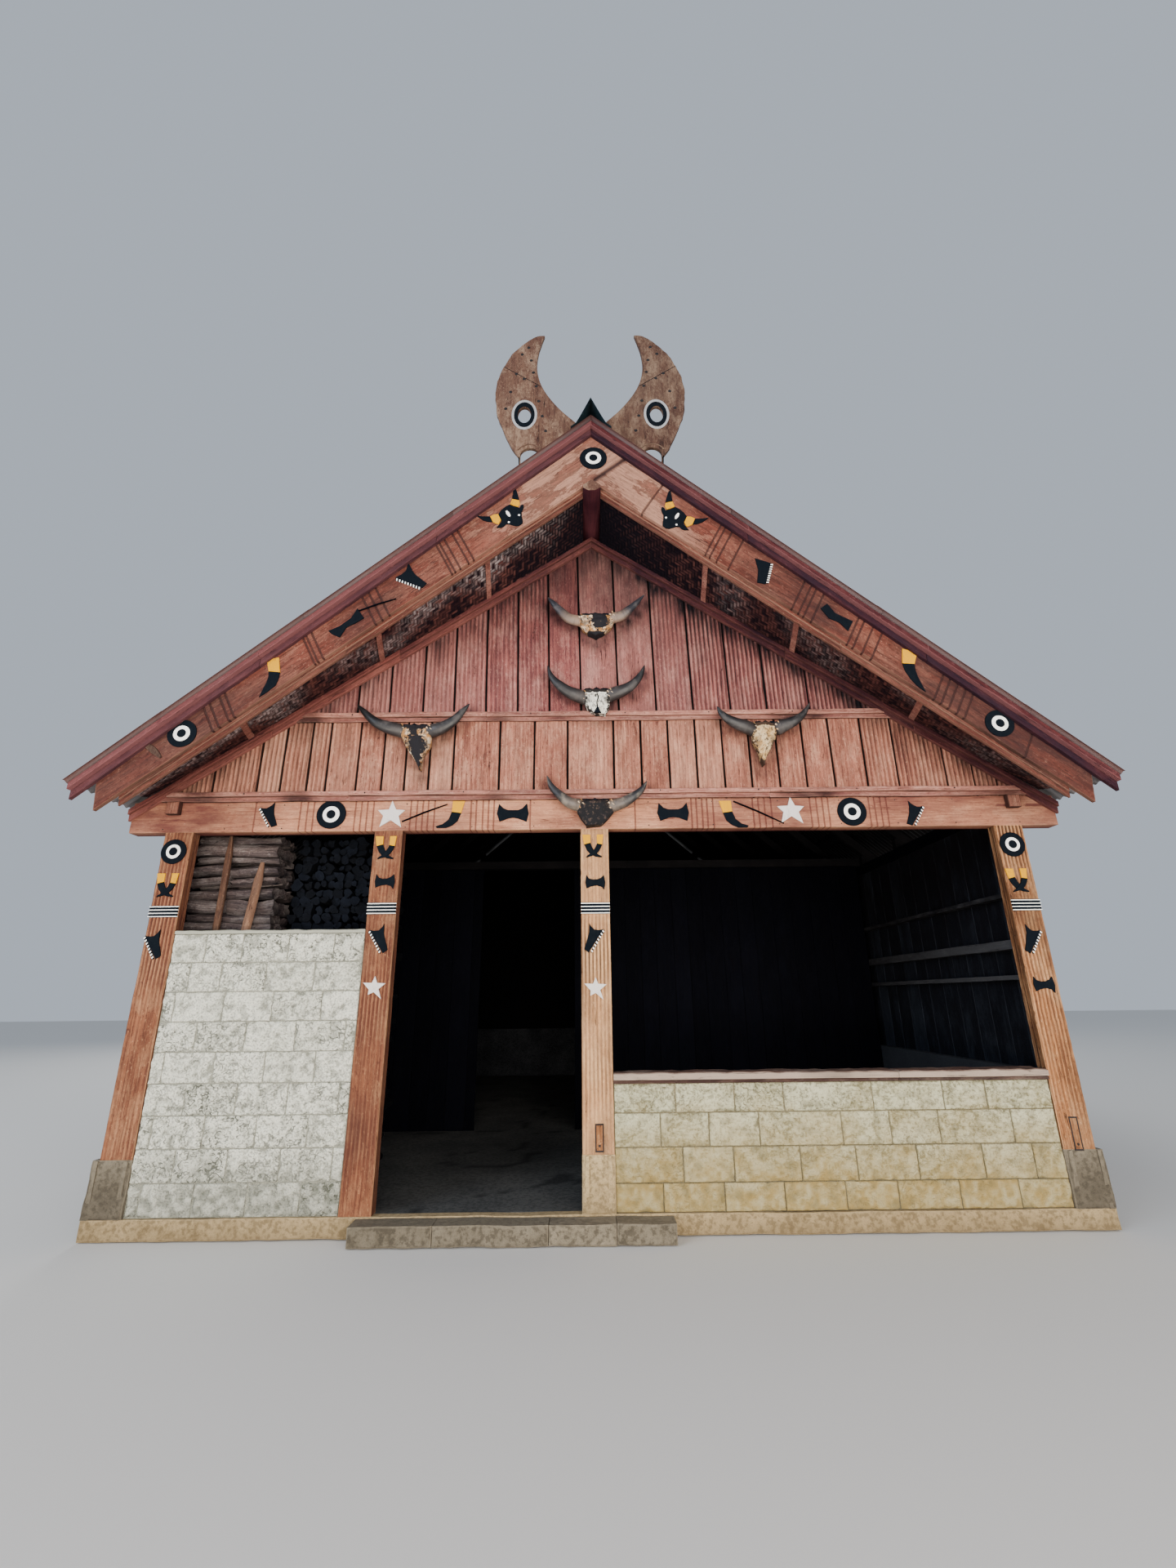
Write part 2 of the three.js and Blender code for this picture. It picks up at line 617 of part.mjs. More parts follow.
// The wall between the porch and the sleeping room, open at its tall doorway
function addPorchWall() {
  const depth = [PORCH_DEPTH, PORCH_DEPTH + 40];
  const left = STONE_THICKNESS - HALF_WIDTH + GAP;
  const right = SIDE_BOARD_INNER - SHELF_REACH - GAP;
  const height = [GAP, PLATE_BOTTOM + PLATE_HEIGHT - 2 * GAP];
  add('porch_wall_left', block([left, DOOR_LEFT], depth, height), darkWood);
  add('porch_wall_right', block([DOOR_RIGHT, right], depth, height), darkWood);
  const beamFoot = PLATE_BOTTOM + PLATE_HEIGHT + GAP;
  const beamReach = PLATE_INNER + PLATE_WIDTH;
  const beamDepth = [PORCH_DEPTH - 40, PORCH_DEPTH + 80];
  const beam = block([-beamReach, beamReach], beamDepth, [beamFoot, beamFoot + 105]);
  add('porch_beam', beam, darkWood);
}

// Firewood stacked behind the tall wall: one pile along the wall, held by two poles, and one end on
function addFirewood() {
  const left = GAP - SIDE_BOARD_INNER;
  const leftFoot = STONE_THICKNESS - HALF_WIDTH + GAP;
  const ledge = SIDE_WALL_TOP + GAP;
  const pile = [
    [leftFoot, GAP], [-2965, GAP], [-2965, 2470], [-2950, 3090],
    [left, 3090], [left, ledge], [leftFoot, ledge],
  ];
  const along = plate(pile, 330, 760);
  const pole = (x0, x1, top, width) => {
    const outline = [[x0, GAP], [x0 + width, GAP], [x1 + width, top], [x1, top]];
    return plate(outline, 262, 335);
  };
  const rack = union(along, pole(-3490, -3480, 3060, 62), pole(-3452, -3163, 2800, 88));
  add('firewood_rack', rack, logWood);
  const endOn = [[-2940, GAP], [-2020, GAP], [-2010, 2850], [-2200, 3020], [-2920, 3090]];
  add('firewood_pile', plate(endOn, 480, 1350), logWood);
}

addFloor();
addPedestals();
addPosts();
addLintel();
addGableRails();
addGableWall();
addRakeMouldings();
addBargeBoards();
addRakeTrims();
addSoffit('soffit_left', -1, [0.235, 0.49, 0.78]);
addSoffit('soffit_right', 1, [0.255, 0.465, 0.73]);
addRoof();
addRidgeBeam();
addRoofFrame('roof_frame_left', -1);
addRoofFrame('roof_frame_right', 1);
addWallPlates();
addHorn('ridge_horn_left', -1);
addHorn('ridge_horn_right', 1);
for (const [name, shape] of Object.entries(SKULLS)) {
  addSkull(name, shape);
}
addFrontWalls();
addSideWalls();
addRearWall();
addPorchWall();
addFirewood();

// The origin is on the ground at the middle of the whole house.
const middleDepth = (RIDGE_FRONT + ROOF_BACK + RIDGE_CAP_BACK) / 2;
house.position.set(0, -middleDepth, PLINTH_DROP);

const group = new THREE.Group();
group.add(house);
export default group;
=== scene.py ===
"""Looks of a morung dormitory house: carved timber front, corrugated roof, stone walls and wood stacks."""

import math
import random

import bmesh
import bpy
import numpy as np
from mathutils import Matrix, Vector


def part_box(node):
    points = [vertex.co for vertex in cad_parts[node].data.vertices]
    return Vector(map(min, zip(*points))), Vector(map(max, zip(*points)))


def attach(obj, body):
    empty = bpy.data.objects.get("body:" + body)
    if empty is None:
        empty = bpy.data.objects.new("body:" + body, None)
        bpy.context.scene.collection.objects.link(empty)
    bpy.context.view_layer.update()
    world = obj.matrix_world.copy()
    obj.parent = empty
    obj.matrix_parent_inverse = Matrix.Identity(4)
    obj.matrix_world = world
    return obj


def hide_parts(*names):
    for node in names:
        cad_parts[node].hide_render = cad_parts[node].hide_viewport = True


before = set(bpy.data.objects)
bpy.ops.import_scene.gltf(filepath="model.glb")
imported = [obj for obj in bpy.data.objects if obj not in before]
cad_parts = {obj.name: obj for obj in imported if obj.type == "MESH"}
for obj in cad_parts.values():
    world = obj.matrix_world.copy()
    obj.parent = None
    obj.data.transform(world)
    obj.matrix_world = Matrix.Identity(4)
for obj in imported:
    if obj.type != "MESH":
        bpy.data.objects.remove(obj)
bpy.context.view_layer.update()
RNG = random.Random(11)

# Heights count from the porch floor and depths from the front of the posts, in metres.
FRONT_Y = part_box("post_entrance_left")[0].y
FLOOR_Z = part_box("floor_slab")[1].z
SHIFT = np.array([0.0, FRONT_Y, FLOOR_Z])

HALF_WIDTH = 3.89
BACK = 9.6
PORCH = 3.35
POST_WIDTH = 0.255
LINTEL_LOW = 3.02
LINTEL_TOP = 3.3
ROOF_APEX, ROOF_FALL = 7.001, 0.8785
BARGE_APEX, BARGE_FALL = 6.328, 0.806
GABLE_APEX, GABLE_FALL = 6.165, 0.695
BARGE_Y = -0.66
BASE_TOP = 0.94
PLATE_FOOT = 3.179
SLAB_HALF, SLAB_LOW = 3.94, -0.142
EAVE = 4.275
ROOF_FRONT = -0.785
RAIL_LOW, RAIL_TOP = 4.085, 4.17
HAIR = 0.0004  # leaves neighbours just apart
SIDES = ((-1, "left"), (1, "right"))
X, Y, Z = (1, 0, 0), (0, 1, 0), (0, 0, 1)


def roof_line(x):
    """Height of the sheets' upper face."""
    return ROOF_APEX - ROOF_FALL * np.abs(x)


def gable_line(x):
    """Height of the gable's upper edge."""
    return GABLE_APEX - GABLE_FALL * np.abs(x)


def unit(value):
    """The value, kept between 0 and 1."""
    return np.clip(value, 0, 1)


def join(*parts):
    """Points from arrays of their coordinates."""
    return np.stack(parts, axis=-1)


def flat(u, s):
    """Points on a face."""
    return np.stack([u, s, 0 * u], axis=-1)


# Materials. Every piece carries its own grain coordinates in metres with the grain along Z, a tone for each
# lump, a shade that is painted shade in hollows and gaps and light on worn edges, and a dirt value that holds
# grime and stains and, in places, painted shade, shadow and light. Colours are hex screen values.

WOOD_ROUGH = 0.78
# The first colour is painted shade in the sheets' troughs, the last is soot and painted shade under the roof
# inside.
SHEET_SHADE, RAKE_RUST, SOOT_AND_SHADE = "181a1e", "68443e", "0c0b0c"
REED, REED_PALE, REED_LIT = "20121a", "744842", "b0a4a4"
REED_FIBRE, REED_PATCH, REED_SHADE = "120b12", "100912", "09060e"


def paint(colour):
    """The linear colour of a hex one. Anything else is handed back."""
    if not isinstance(colour, str):
        return colour
    parts = (value / 255 for value in bytes.fromhex(colour))
    return (*(v / 12.92 if v <= 0.04045 else ((v + 0.055) / 1.055) ** 2.4 for v in parts), 1.0)


class Look:
    """A procedural material, whose colour is laid on coat by coat."""

    def __init__(self, name, base, roughness=0.8, metallic=0.0, specular=0.3):
        self.material = bpy.data.materials.new(name)
        self.material.use_nodes = True
        self.tree = self.material.node_tree
        self.colour = base
        self.shader = next(n for n in self.tree.nodes if n.type == "BSDF_PRINCIPLED")
        self.shader.inputs["Roughness"].default_value = roughness
        self.shader.inputs["Metallic"].default_value = metallic
        self.shader.inputs["Specular IOR Level"].default_value = specular

    def node(self, kind, inputs, output=0, **settings):
        """Adds a node. Sockets among the inputs are linked, numbers and colours are set."""
        made = self.tree.nodes.new(kind)
        for key, value in settings.items():
            setattr(made, key, value)
        for key, value in inputs.items():
            if isinstance(value, bpy.types.NodeSocket):
                self.tree.links.new(value, made.inputs[key])
            else:
                made.inputs[key].default_value = value
        return made.outputs[output]

    def field(self, name, output="Fac"):
        """A named value that the mesh carries."""
        return self.node("ShaderNodeAttribute", {}, output, attribute_name=name)

    def noise(self, scale, along=1, detail=4.0, rough=0.6, across=1):
        """Noise in the piece's grain. Along less than 1 draws it out with the grain."""
        stretch = {"Vector": self.field("grain", "Vector"), "Scale": (across, across, along)}
        place = self.node("ShaderNodeMapping", stretch)
        inputs = {"Vector": place, "Scale": scale, "Detail": detail, "Roughness": rough}
        return self.node("ShaderNodeTexNoise", inputs)

    def span(self, value, low, high, out_low=0.0, out_high=1.0):
        """The value's range between low and high, spread over another range."""
        return self.node("ShaderNodeMapRange", {0: value, 1: low, 2: high, 3: out_low, 4: out_high})

    def maths(self, kind, a, b):
        """One step of arithmetic on two values."""
        return self.node("ShaderNodeMath", {0: a, 1: b}, operation=kind)

    def times(self, a, b):
        """The product of two values."""
        return self.maths("MULTIPLY", a, b)

    def crease(self, value, low, high):
        """The thin lines along which a noise crosses its middle."""
        return self.span(self.maths("ABSOLUTE", self.maths("SUBTRACT", value, 0.5), 0.0), low, high)

    def lay(self, share, over, *limits):
        """Lays a colour over the others, by a share or by a value between limits as in span()."""
        if limits:
            share = self.span(share, *limits)
        self.colour = self.node("ShaderNodeMixRGB", {0: share, 1: paint(self.colour), 2: paint(over)})

    def finish(self, height, depth, rough=None):
        """Links the colour, a bump from height and, with rough, the roughness."""
        links = self.tree.links
        links.new(self.colour, self.shader.inputs["Base Color"])
        bump = self.node("ShaderNodeBump", {"Height": height, "Distance": depth, "Strength": 1.0})
        links.new(bump, self.shader.inputs["Normal"])
        if rough is not None:
            links.new(rough, self.shader.inputs["Roughness"])
        return self.material


def wood(name, base, pale, dark, grime="0c090e", fine=70.0, pale_share=0.35, bump=0.004, peel=0.0,
         dark_share=0.55, speck=0.7, sheen=0.12, fibres=0.75):
    """Weathered timber: long grain, blotches, splits, chips, rubbed edges, painted shade in hollows and, with
    peel, flaking.
    """
    look = Look(name, base, WOOD_ROUGH, specular=sheen)
    fibre = look.noise(fine, 0.04, 5.0, 0.75)
    broad = look.noise(7.0, 0.22, 5.0, 0.65)
    patch = look.noise(5.2, 0.45, 7.0, 0.78)
    chip = look.noise(62.0, 0.5, 3.0, 0.8)
    split = look.noise(11.0, 0.05, 3.0, 0.6)
    look.lay(broad, dark, 0.4, 0.68, 0.0, dark_share)
    look.lay(patch, pale, 0.48, 0.62, 0.0, pale_share)
    if peel:
        flake = look.noise(4.4, 0.38, 7.0, 0.68)
        share = look.span(look.field("tone"), 0.5, 1.0, 0.1, peel)
        look.lay(look.times(look.span(flake, 0.5, 0.535), share), pale)
        rim = look.times(look.span(flake, 0.47, 0.502), look.span(flake, 0.52, 0.504))
        look.lay(look.times(rim, share), dark)
    look.lay(fibre, dark, 0.34, 0.58, fibres, 0.0)
    look.lay(chip, dark, 0.58, 0.66, 0.0, speck)
    look.lay(chip, pale, 0.4, 0.33, 0.0, 0.6 * speck)
    tone = look.field("tone")
    look.lay(tone, dark, 0.0, 0.6, 0.35, 0.0)
    look.lay(tone, pale, 0.6, 1.0, 0.0, 0.3)
    shade = look.field("shade")
    look.lay(shade, pale, 0.0, -1.0, 0.0, 0.8)
    seam = look.times(look.crease(split, 0.009, 0.002), look.span(patch, 0.5, 0.42, 0.0, 0.8))
    # Painted shade: seams and the hollows and gaps that the shade value marks take the dark dirt colour, as
    # does the dirt value, which holds painted shade in places.
    look.lay(look.maths("MAXIMUM", seam, look.span(shade, 0.0, 1.0, 0.0, 0.92)), grime)
    look.lay(look.times(look.field("grime"), look.span(look.noise(12.0, 0.3), 0.3, 0.6, 0.45, 1.0)), grime)
    height = look.maths("SUBTRACT", look.maths("ADD", fibre, look.times(chip, -0.8)), seam)
    return look.finish(height, bump, look.span(fibre, 0.3, 0.7, WOOD_ROUGH - 0.1, WOOD_ROUGH + 0.12))


def enamel(name, base, worn, roughness=0.55):
    """Old brushed paint over carved wood."""
    look = Look(name, base, roughness, specular=0.1)
    fibre = look.noise(60.0, 0.1, 4.0, 0.7)
    wear = look.noise(22.0, 0.5, 5.0, 0.75)
    look.lay(wear, worn, 0.56, 0.72, 0.0, 0.6)
    look.lay(fibre, worn, 0.3, 0.5, 0.15, 0.0)
    return look.finish(fibre, 0.0006, look.span(wear, 0.3, 0.7, roughness - 0.12, roughness + 0.2))


def masonry(name, base, pale, dark, low=None, *, peck, depth=0.004, strokes=0.0, stroke_pale=0.0):
    """Hand-dressed stone or cement: pecked, stained and uneven, with short curved chisel marks."""
    look = Look(name, base, 0.92, specular=0.1)
    pits = look.noise(peck, detail=3.0)
    patch = look.noise(2.6, detail=6.0, rough=0.7)
    speck = look.noise(170.0, detail=2.0)
    look.lay(patch, pale, 0.36, 0.64)
    look.lay(pits, dark, 0.49, 0.41, 0.0, 0.55)
    look.lay(pits, pale, 0.52, 0.6, 0.0, 0.45)
    look.lay(speck, dark, 0.55, 0.66, 0.0, 0.4)
    mark = look.crease(look.noise(30.0, 0.8, 1.0, 0.4), 0.045, 0.03)
    mark = look.times(mark, look.span(look.noise(21.0, detail=1.0), 0.47, 0.52))
    mark = look.times(mark, look.span(look.noise(3.0, detail=2.0), 0.36, 0.6, 0.3, 1.0))
    mark = look.times(mark, look.span(look.field("tone"), 0.45, 0.6, 1.0, 0.25))
    if strokes:
        look.lay(look.times(mark, strokes), dark)
    if stroke_pale:
        ridge = look.span(look.noise(34.0, 0.45, 2.0, 0.5), 0.56, 0.6)
        look.lay(look.times(ridge, stroke_pale), pale)
    tone = look.field("tone")
    look.lay(tone, dark, 0.0, 0.5, 0.4, 0.0)
    look.lay(tone, pale, 0.5, 1.0, 0.0, 0.35)
    stain_and_shade = look.times(look.field("grime"), look.span(look.noise(9.0, detail=5.0), 0.3, 0.62, 0.7, 1.0))
    if low is None:
        look.lay(look.times(stain_and_shade, 0.7), dark)
    else:
        look.lay(stain_and_shade, low)
    shade = look.field("shade")
    look.lay(shade, dark, 0.0, 1.0, 0.0, 0.85)
    look.lay(shade, pale, 0.0, -1.0, 0.0, 0.7)
    height = look.maths("ADD", pits, look.times(speck, 0.3))
    return look.finish(look.maths("SUBTRACT", height, look.times(mark, strokes)), depth)


def metal(name, base, pale, rust, share=0.5):
    """Galvanised sheet that has dulled, with streaks and rust, painted shade in the troughs, and soot with
    painted shade under the sheets inside.
    """
    look = Look(name, base, 0.55, 0.35, 0.4)
    streak = look.noise(10.0, 0.08)
    patch = look.noise(1.7, detail=6.0, rough=0.7)
    spangle = look.noise(46.0, detail=2.0)
    look.lay(streak, pale, 0.35, 0.65)
    rusty = look.times(look.span(patch, 0.5, 0.66), look.span(streak, 0.4, 0.6, 0.3, 1.0))
    look.lay(look.times(rusty, share), rust)
    look.lay(spangle, pale, 0.4, 0.7, 0.0, 0.15)
    look.lay(look.field("tone"), rust, 0.0, 1.0, 0.3, 0.0)
    look.lay(look.field("shade"), SHEET_SHADE, 0.0, 1.0, 0.0, 0.7)
    grime = look.field("grime")
    look.lay(grime, RAKE_RUST, 0.0, -1.0)
    look.lay(grime, SOOT_AND_SHADE, 0.0, 1.0)
    rough = look.span(patch, 0.4, 0.65, 0.42, 0.8)
    return look.finish(look.maths("ADD", streak, spangle), 0.0008, rough)


def reed_mat():
    """Split bamboo, woven over and under and smoked dark, with pale strands: partly their own colour, partly
    painted light.
    """
    look = Look("woven_mat", REED, 0.85, specular=0.1)
    fibre = look.noise(90.0, 0.08, 4.0, 0.7)
    patch = look.noise(2.2, 0.45, 5.0, 0.7)
    scrap = look.noise(13.0, 0.25, 4.0, 0.75)
    look.lay(look.field("tone"), REED_PALE)
    look.lay(fibre, REED_FIBRE, 0.35, 0.6, 0.4, 0.0)
    look.lay(patch, REED_PATCH, 0.5, 0.38, 0.0, 0.5)
    look.lay(look.times(look.field("grime"), look.span(scrap, 0.42, 0.56)), REED_LIT)
    # Painted shade in the weave's hollows and towards the ridge.
    look.lay(look.field("shade"), REED_SHADE, 0.0, 1.0)
    return look.finish(look.maths("ADD", fibre, scrap), 0.003)


def bone_look(name, base, torn, dark, share):
    """Weathered bone with torn skin, dark where it is grimy."""
    look = Look(name, base, 0.7)
    patch = look.noise(16.0, detail=5.0, rough=0.75)
    crack = look.noise(46.0, 0.55, 5.0, 0.8)
    look.lay(patch, torn, 0.44, 0.58, 0.0, share)
    look.lay(crack, dark, 0.47, 0.42, 0.0, 0.95)
    chip = look.noise(30.0, detail=3.0, rough=0.7)
    ragged = look.maths("ADD", look.field("grime"), look.span(chip, 0.3, 0.7, -0.5, 0.5))
    look.lay(ragged, dark, 0.44, 0.54)
    look.lay(look.field("shade"), dark, 0.0, 1.0)
    return look.finish(look.maths("ADD", patch, crack), 0.012)


def horn_look(name, base, tip, streak):
    """Horn with rings across it and a tip of another colour."""
    look = Look(name, base, 0.42, specular=0.5)
    ring = look.noise(30.0, across=0.25)
    patch = look.noise(9.0)
    look.lay(look.field("grime"), tip)
    look.lay(patch, streak, 0.5, 0.66, 0.0, 0.4)
    look.lay(ring, tip, 0.5, 0.35, 0.0, 0.5)
    return look.finish(ring, 0.002, look.span(patch, 0.35, 0.65, 0.34, 0.62))


RED = wood("red_wood", "a96f5b", "d6a88e", "4c2422")
# The upper tier's wood is a darker copy of the red wood: painted shade under the eaves.
SHADED_HIGH_RED = wood("shaded_high_red_wood", "945852", "c89a8e", "462228")
LINTEL = wood("lintel_wood", "ba7e60", "deb08e", "60322a", grime="542a2a")
RAIL = wood("rail_wood", "a67062", "d2a694", "502a2a", pale_share=0.4)
POST = wood("post_wood", "b2794e", "e4bc8e", "543022")
POST_OLD = wood("old_post_wood", "8a583e", "c0946e", "42221c", grime="482822")
BARGE = wood("barge_wood", "764034", "b08672", "301814", grime="2e1e1e", pale_share=0.15, peel=0.9)
CAP = wood("cap_wood", "745a4e", "a8988a", "422a26", pale_share=0.55)
MOULDING = wood("moulding_wood", "683632", "a66c60", "2a1016", grime="1a0e1a", pale_share=0.3)
TRIM = wood("trim_wood", "542626", "926062", "280e16", grime="16101e", fine=50.0, pale_share=0.2)
HORN_BOARD = wood("horn_board_wood", "684e40", "a8907a", "361e1e", pale_share=0.5, peel=0.6, fibres=0.3,
                  dark_share=0.7)
# Near black: on the porch walls and the wall plates running back it is painted shade of the dark porch; on
# the rods it is their own colour.
DARK_AND_SHADED = wood("dark_wood", "04050b", "0c0d16", "020206", pale_share=0.3, speck=0.3, sheen=0.04)
# Inside planks of the side walls, dark bluish grey: painted shade inside the porch.
SHADED_PLANK = wood("shaded_plank_wood", "181c24", "424a56", "08090e", speck=0.5)
# Near-black board put behind gaps: painted shadow.
SHADOW_BLACK = wood("painted_shadow_wood", "040405", "070608", "030303", pale_share=0.2, speck=0.2)
SIDE = wood("side_wood", "684234", "987864", "3e2622", pale_share=0.5)
SHELF = wood("shelf_wood", "323236", "606062", "141418", pale_share=0.5)
LOG = wood("log_wood", "7c6c68", "c4bab6", "1c1820", grime="060810", fine=60.0, bump=0.012, pale_share=0.5)
POLE = wood("pole_wood", "765442", "ac8a70", "302220", pale_share=0.4)
# Logs seen end on are near black: painted shade deep in the stack.
SHADED_LOG = wood("shaded_log_wood", "040810", "141a26", "020308", grime="010205", fine=90.0, pale_share=0.4,
                bump=0.008)
BLACK = enamel("black_paint", "040b13", "16181e", 0.8)
WHITE = enamel("white_paint", "fafaf6", "cec4ba")
SILVER = enamel("silver_paint", "cec8c4", "9c9088")
RING = enamel("ring_paint", "96989c", "706868")
YELLOW = enamel("yellow_paint", "cc9200", "966006")
GREY_STONE = masonry("grey_stone", "908c6e", "bcba9e", "544e38", "8e7a4c", peck=48.0, depth=0.01, strokes=0.5,
                     stroke_pale=0.6)
SIDE_STONE = masonry("side_stone", "828070", "b0ac9c", "4c483e", "706858", peck=48.0, depth=0.01, strokes=0.5,
                     stroke_pale=0.4)
WHITE_STONE = masonry("white_stone", "b6b6a8", "dadacc", "54564c", peck=60.0, depth=0.012, strokes=0.9)
MORTAR = masonry("mortar", "68604a", "887e64", "3c3628", peck=120.0, depth=0.002)
WHITE_MORTAR = masonry("white_mortar", "828276", "a0a092", "606056", peck=120.0)
SMOKED = masonry("smoked_plaster", "1e2024", "3c3e42", "0c0c0f", peck=60.0)
CEMENT = masonry("cement", "867354", "baa47e", "5e503a", peck=30.0, depth=0.01)
KERB = masonry("kerb_stone", "5e574a", "827969", "3a352d", peck=26.0, depth=0.01)
# The porch floor's dark grey is painted shade.
SHADED_FLOOR = masonry("shaded_floor_cement", "383a3c", "565654", "1e1f21", peck=30.0)
TIN = metal("roof_sheet", "687078", "969ea4", "6e4836")
RIDGE = metal("ridge_sheet", "0e222a", "223a42", "18181e", 0.3)
MAT = reed_mat()
NAIL = metal("nail_iron", "100f11", "282424", "321e18")
FACE_DARK = bone_look("skull_dark", "362a28", "806854", "0c0b0f", 0.45)
FACE_TORN = bone_look("skull_torn", "a87642", "e8d6ba", "121016", 0.75)
FACE_WHITE = bone_look("skull_white", "dcd8ca", "f6f5ee", "221e1c", 0.5)
FACE_TAN = bone_look("skull_tan", "b48e5a", "e6d0a8", "3c2a1e", 0.65)
HORN_GREY = horn_look("horn_grey", "2a2524", "0f0f12", "585250")
HORN_TAN = horn_look("horn_tan", "8c7462", "222228", "706866")
HORN_BROWN = horn_look("horn_brown", "64584e", "141419", "968a7a")


# Shapes

def lattice(index, seed):
    """A random value between 0 and 1 for each whole-numbered place."""
    value = np.sin(index @ np.array([127.1, 311.7, 74.7]) + 19.19 * seed) * 43758.5453
    return value - np.floor(value)


def rough(points, size, seed):
    """Smooth random values between -1 and 1 at these points, in lumps of about that size."""
    spot = np.asarray(points, float) / size
    base = np.floor(spot)
    part = spot - base
    part = part * part * (3 - 2 * part)
    total = 0.0
    for corner in np.ndindex(2, 2, 2):
        corner = np.array(corner)
        total = total + np.prod(np.where(corner, part, 1 - part), axis=-1) * lattice(base + corner, seed)
    return 2 * total - 1


def stops(length, cell, edge, extra=()):
    """Places along a face, with a narrow strip for the worn edge at each end."""
    count = max(2, int(round((length - 2 * edge) / cell)) + 1)
    places = [0.0, *np.linspace(edge, length - edge, count), length]
    for centre, half in extra:
        places = [p for p in places if abs(p - centre) > 2.6 * half or p in (0.0, length)]
        places += [centre - 2 * half, centre - half, centre + half, centre + 2 * half]
    return np.array(sorted(p for p in places if 0 <= p <= length))


def grid_faces(rows, columns, loop=False):
    """Quads of a grid of points; loop joins the last column to the first."""
    wide = columns if loop else columns - 1
    row, column = np.meshgrid(np.arange(rows - 1), np.arange(wide), indexing="ij")
    row, column = row.ravel(), column.ravel()
    right = (column + 1) % columns
    return join(row * columns + column, row * columns + right, (row + 1) * columns + right,
                (row + 1) * columns + column)


def turns(count):
    """Angles of a full turn."""
    return np.linspace(0, 2 * math.pi, count, endpoint=False)


def ring_points(path, reach, first, second, angle, squash):
    """Rings of points around a path. Reach is each point's distance from it."""
    cos, sin = np.cos(angle)[None, :, None], np.sin(angle)[None, :, None]
    return path[:, None] + reach[..., None] * (cos * first + squash * sin * second)


def round_grain(radius, angle, along):
    """Grain of a round bar, whose rings lie this far along it."""
    size = (len(along), len(angle))
    return join(*(np.broadcast_to(v, size) for v in (radius * np.cos(angle), radius * np.sin(angle),
                                                     along[:, None])))


def lengths(start, stop, least, spread, shortest):
    """Uneven lengths from start to stop, drawn one at a time."""
    while start < stop - 0.01:
        end = min(start + least + spread * RNG.random(), stop)
        if stop - end < shortest:
            end = stop
        yield start, end
        start = end


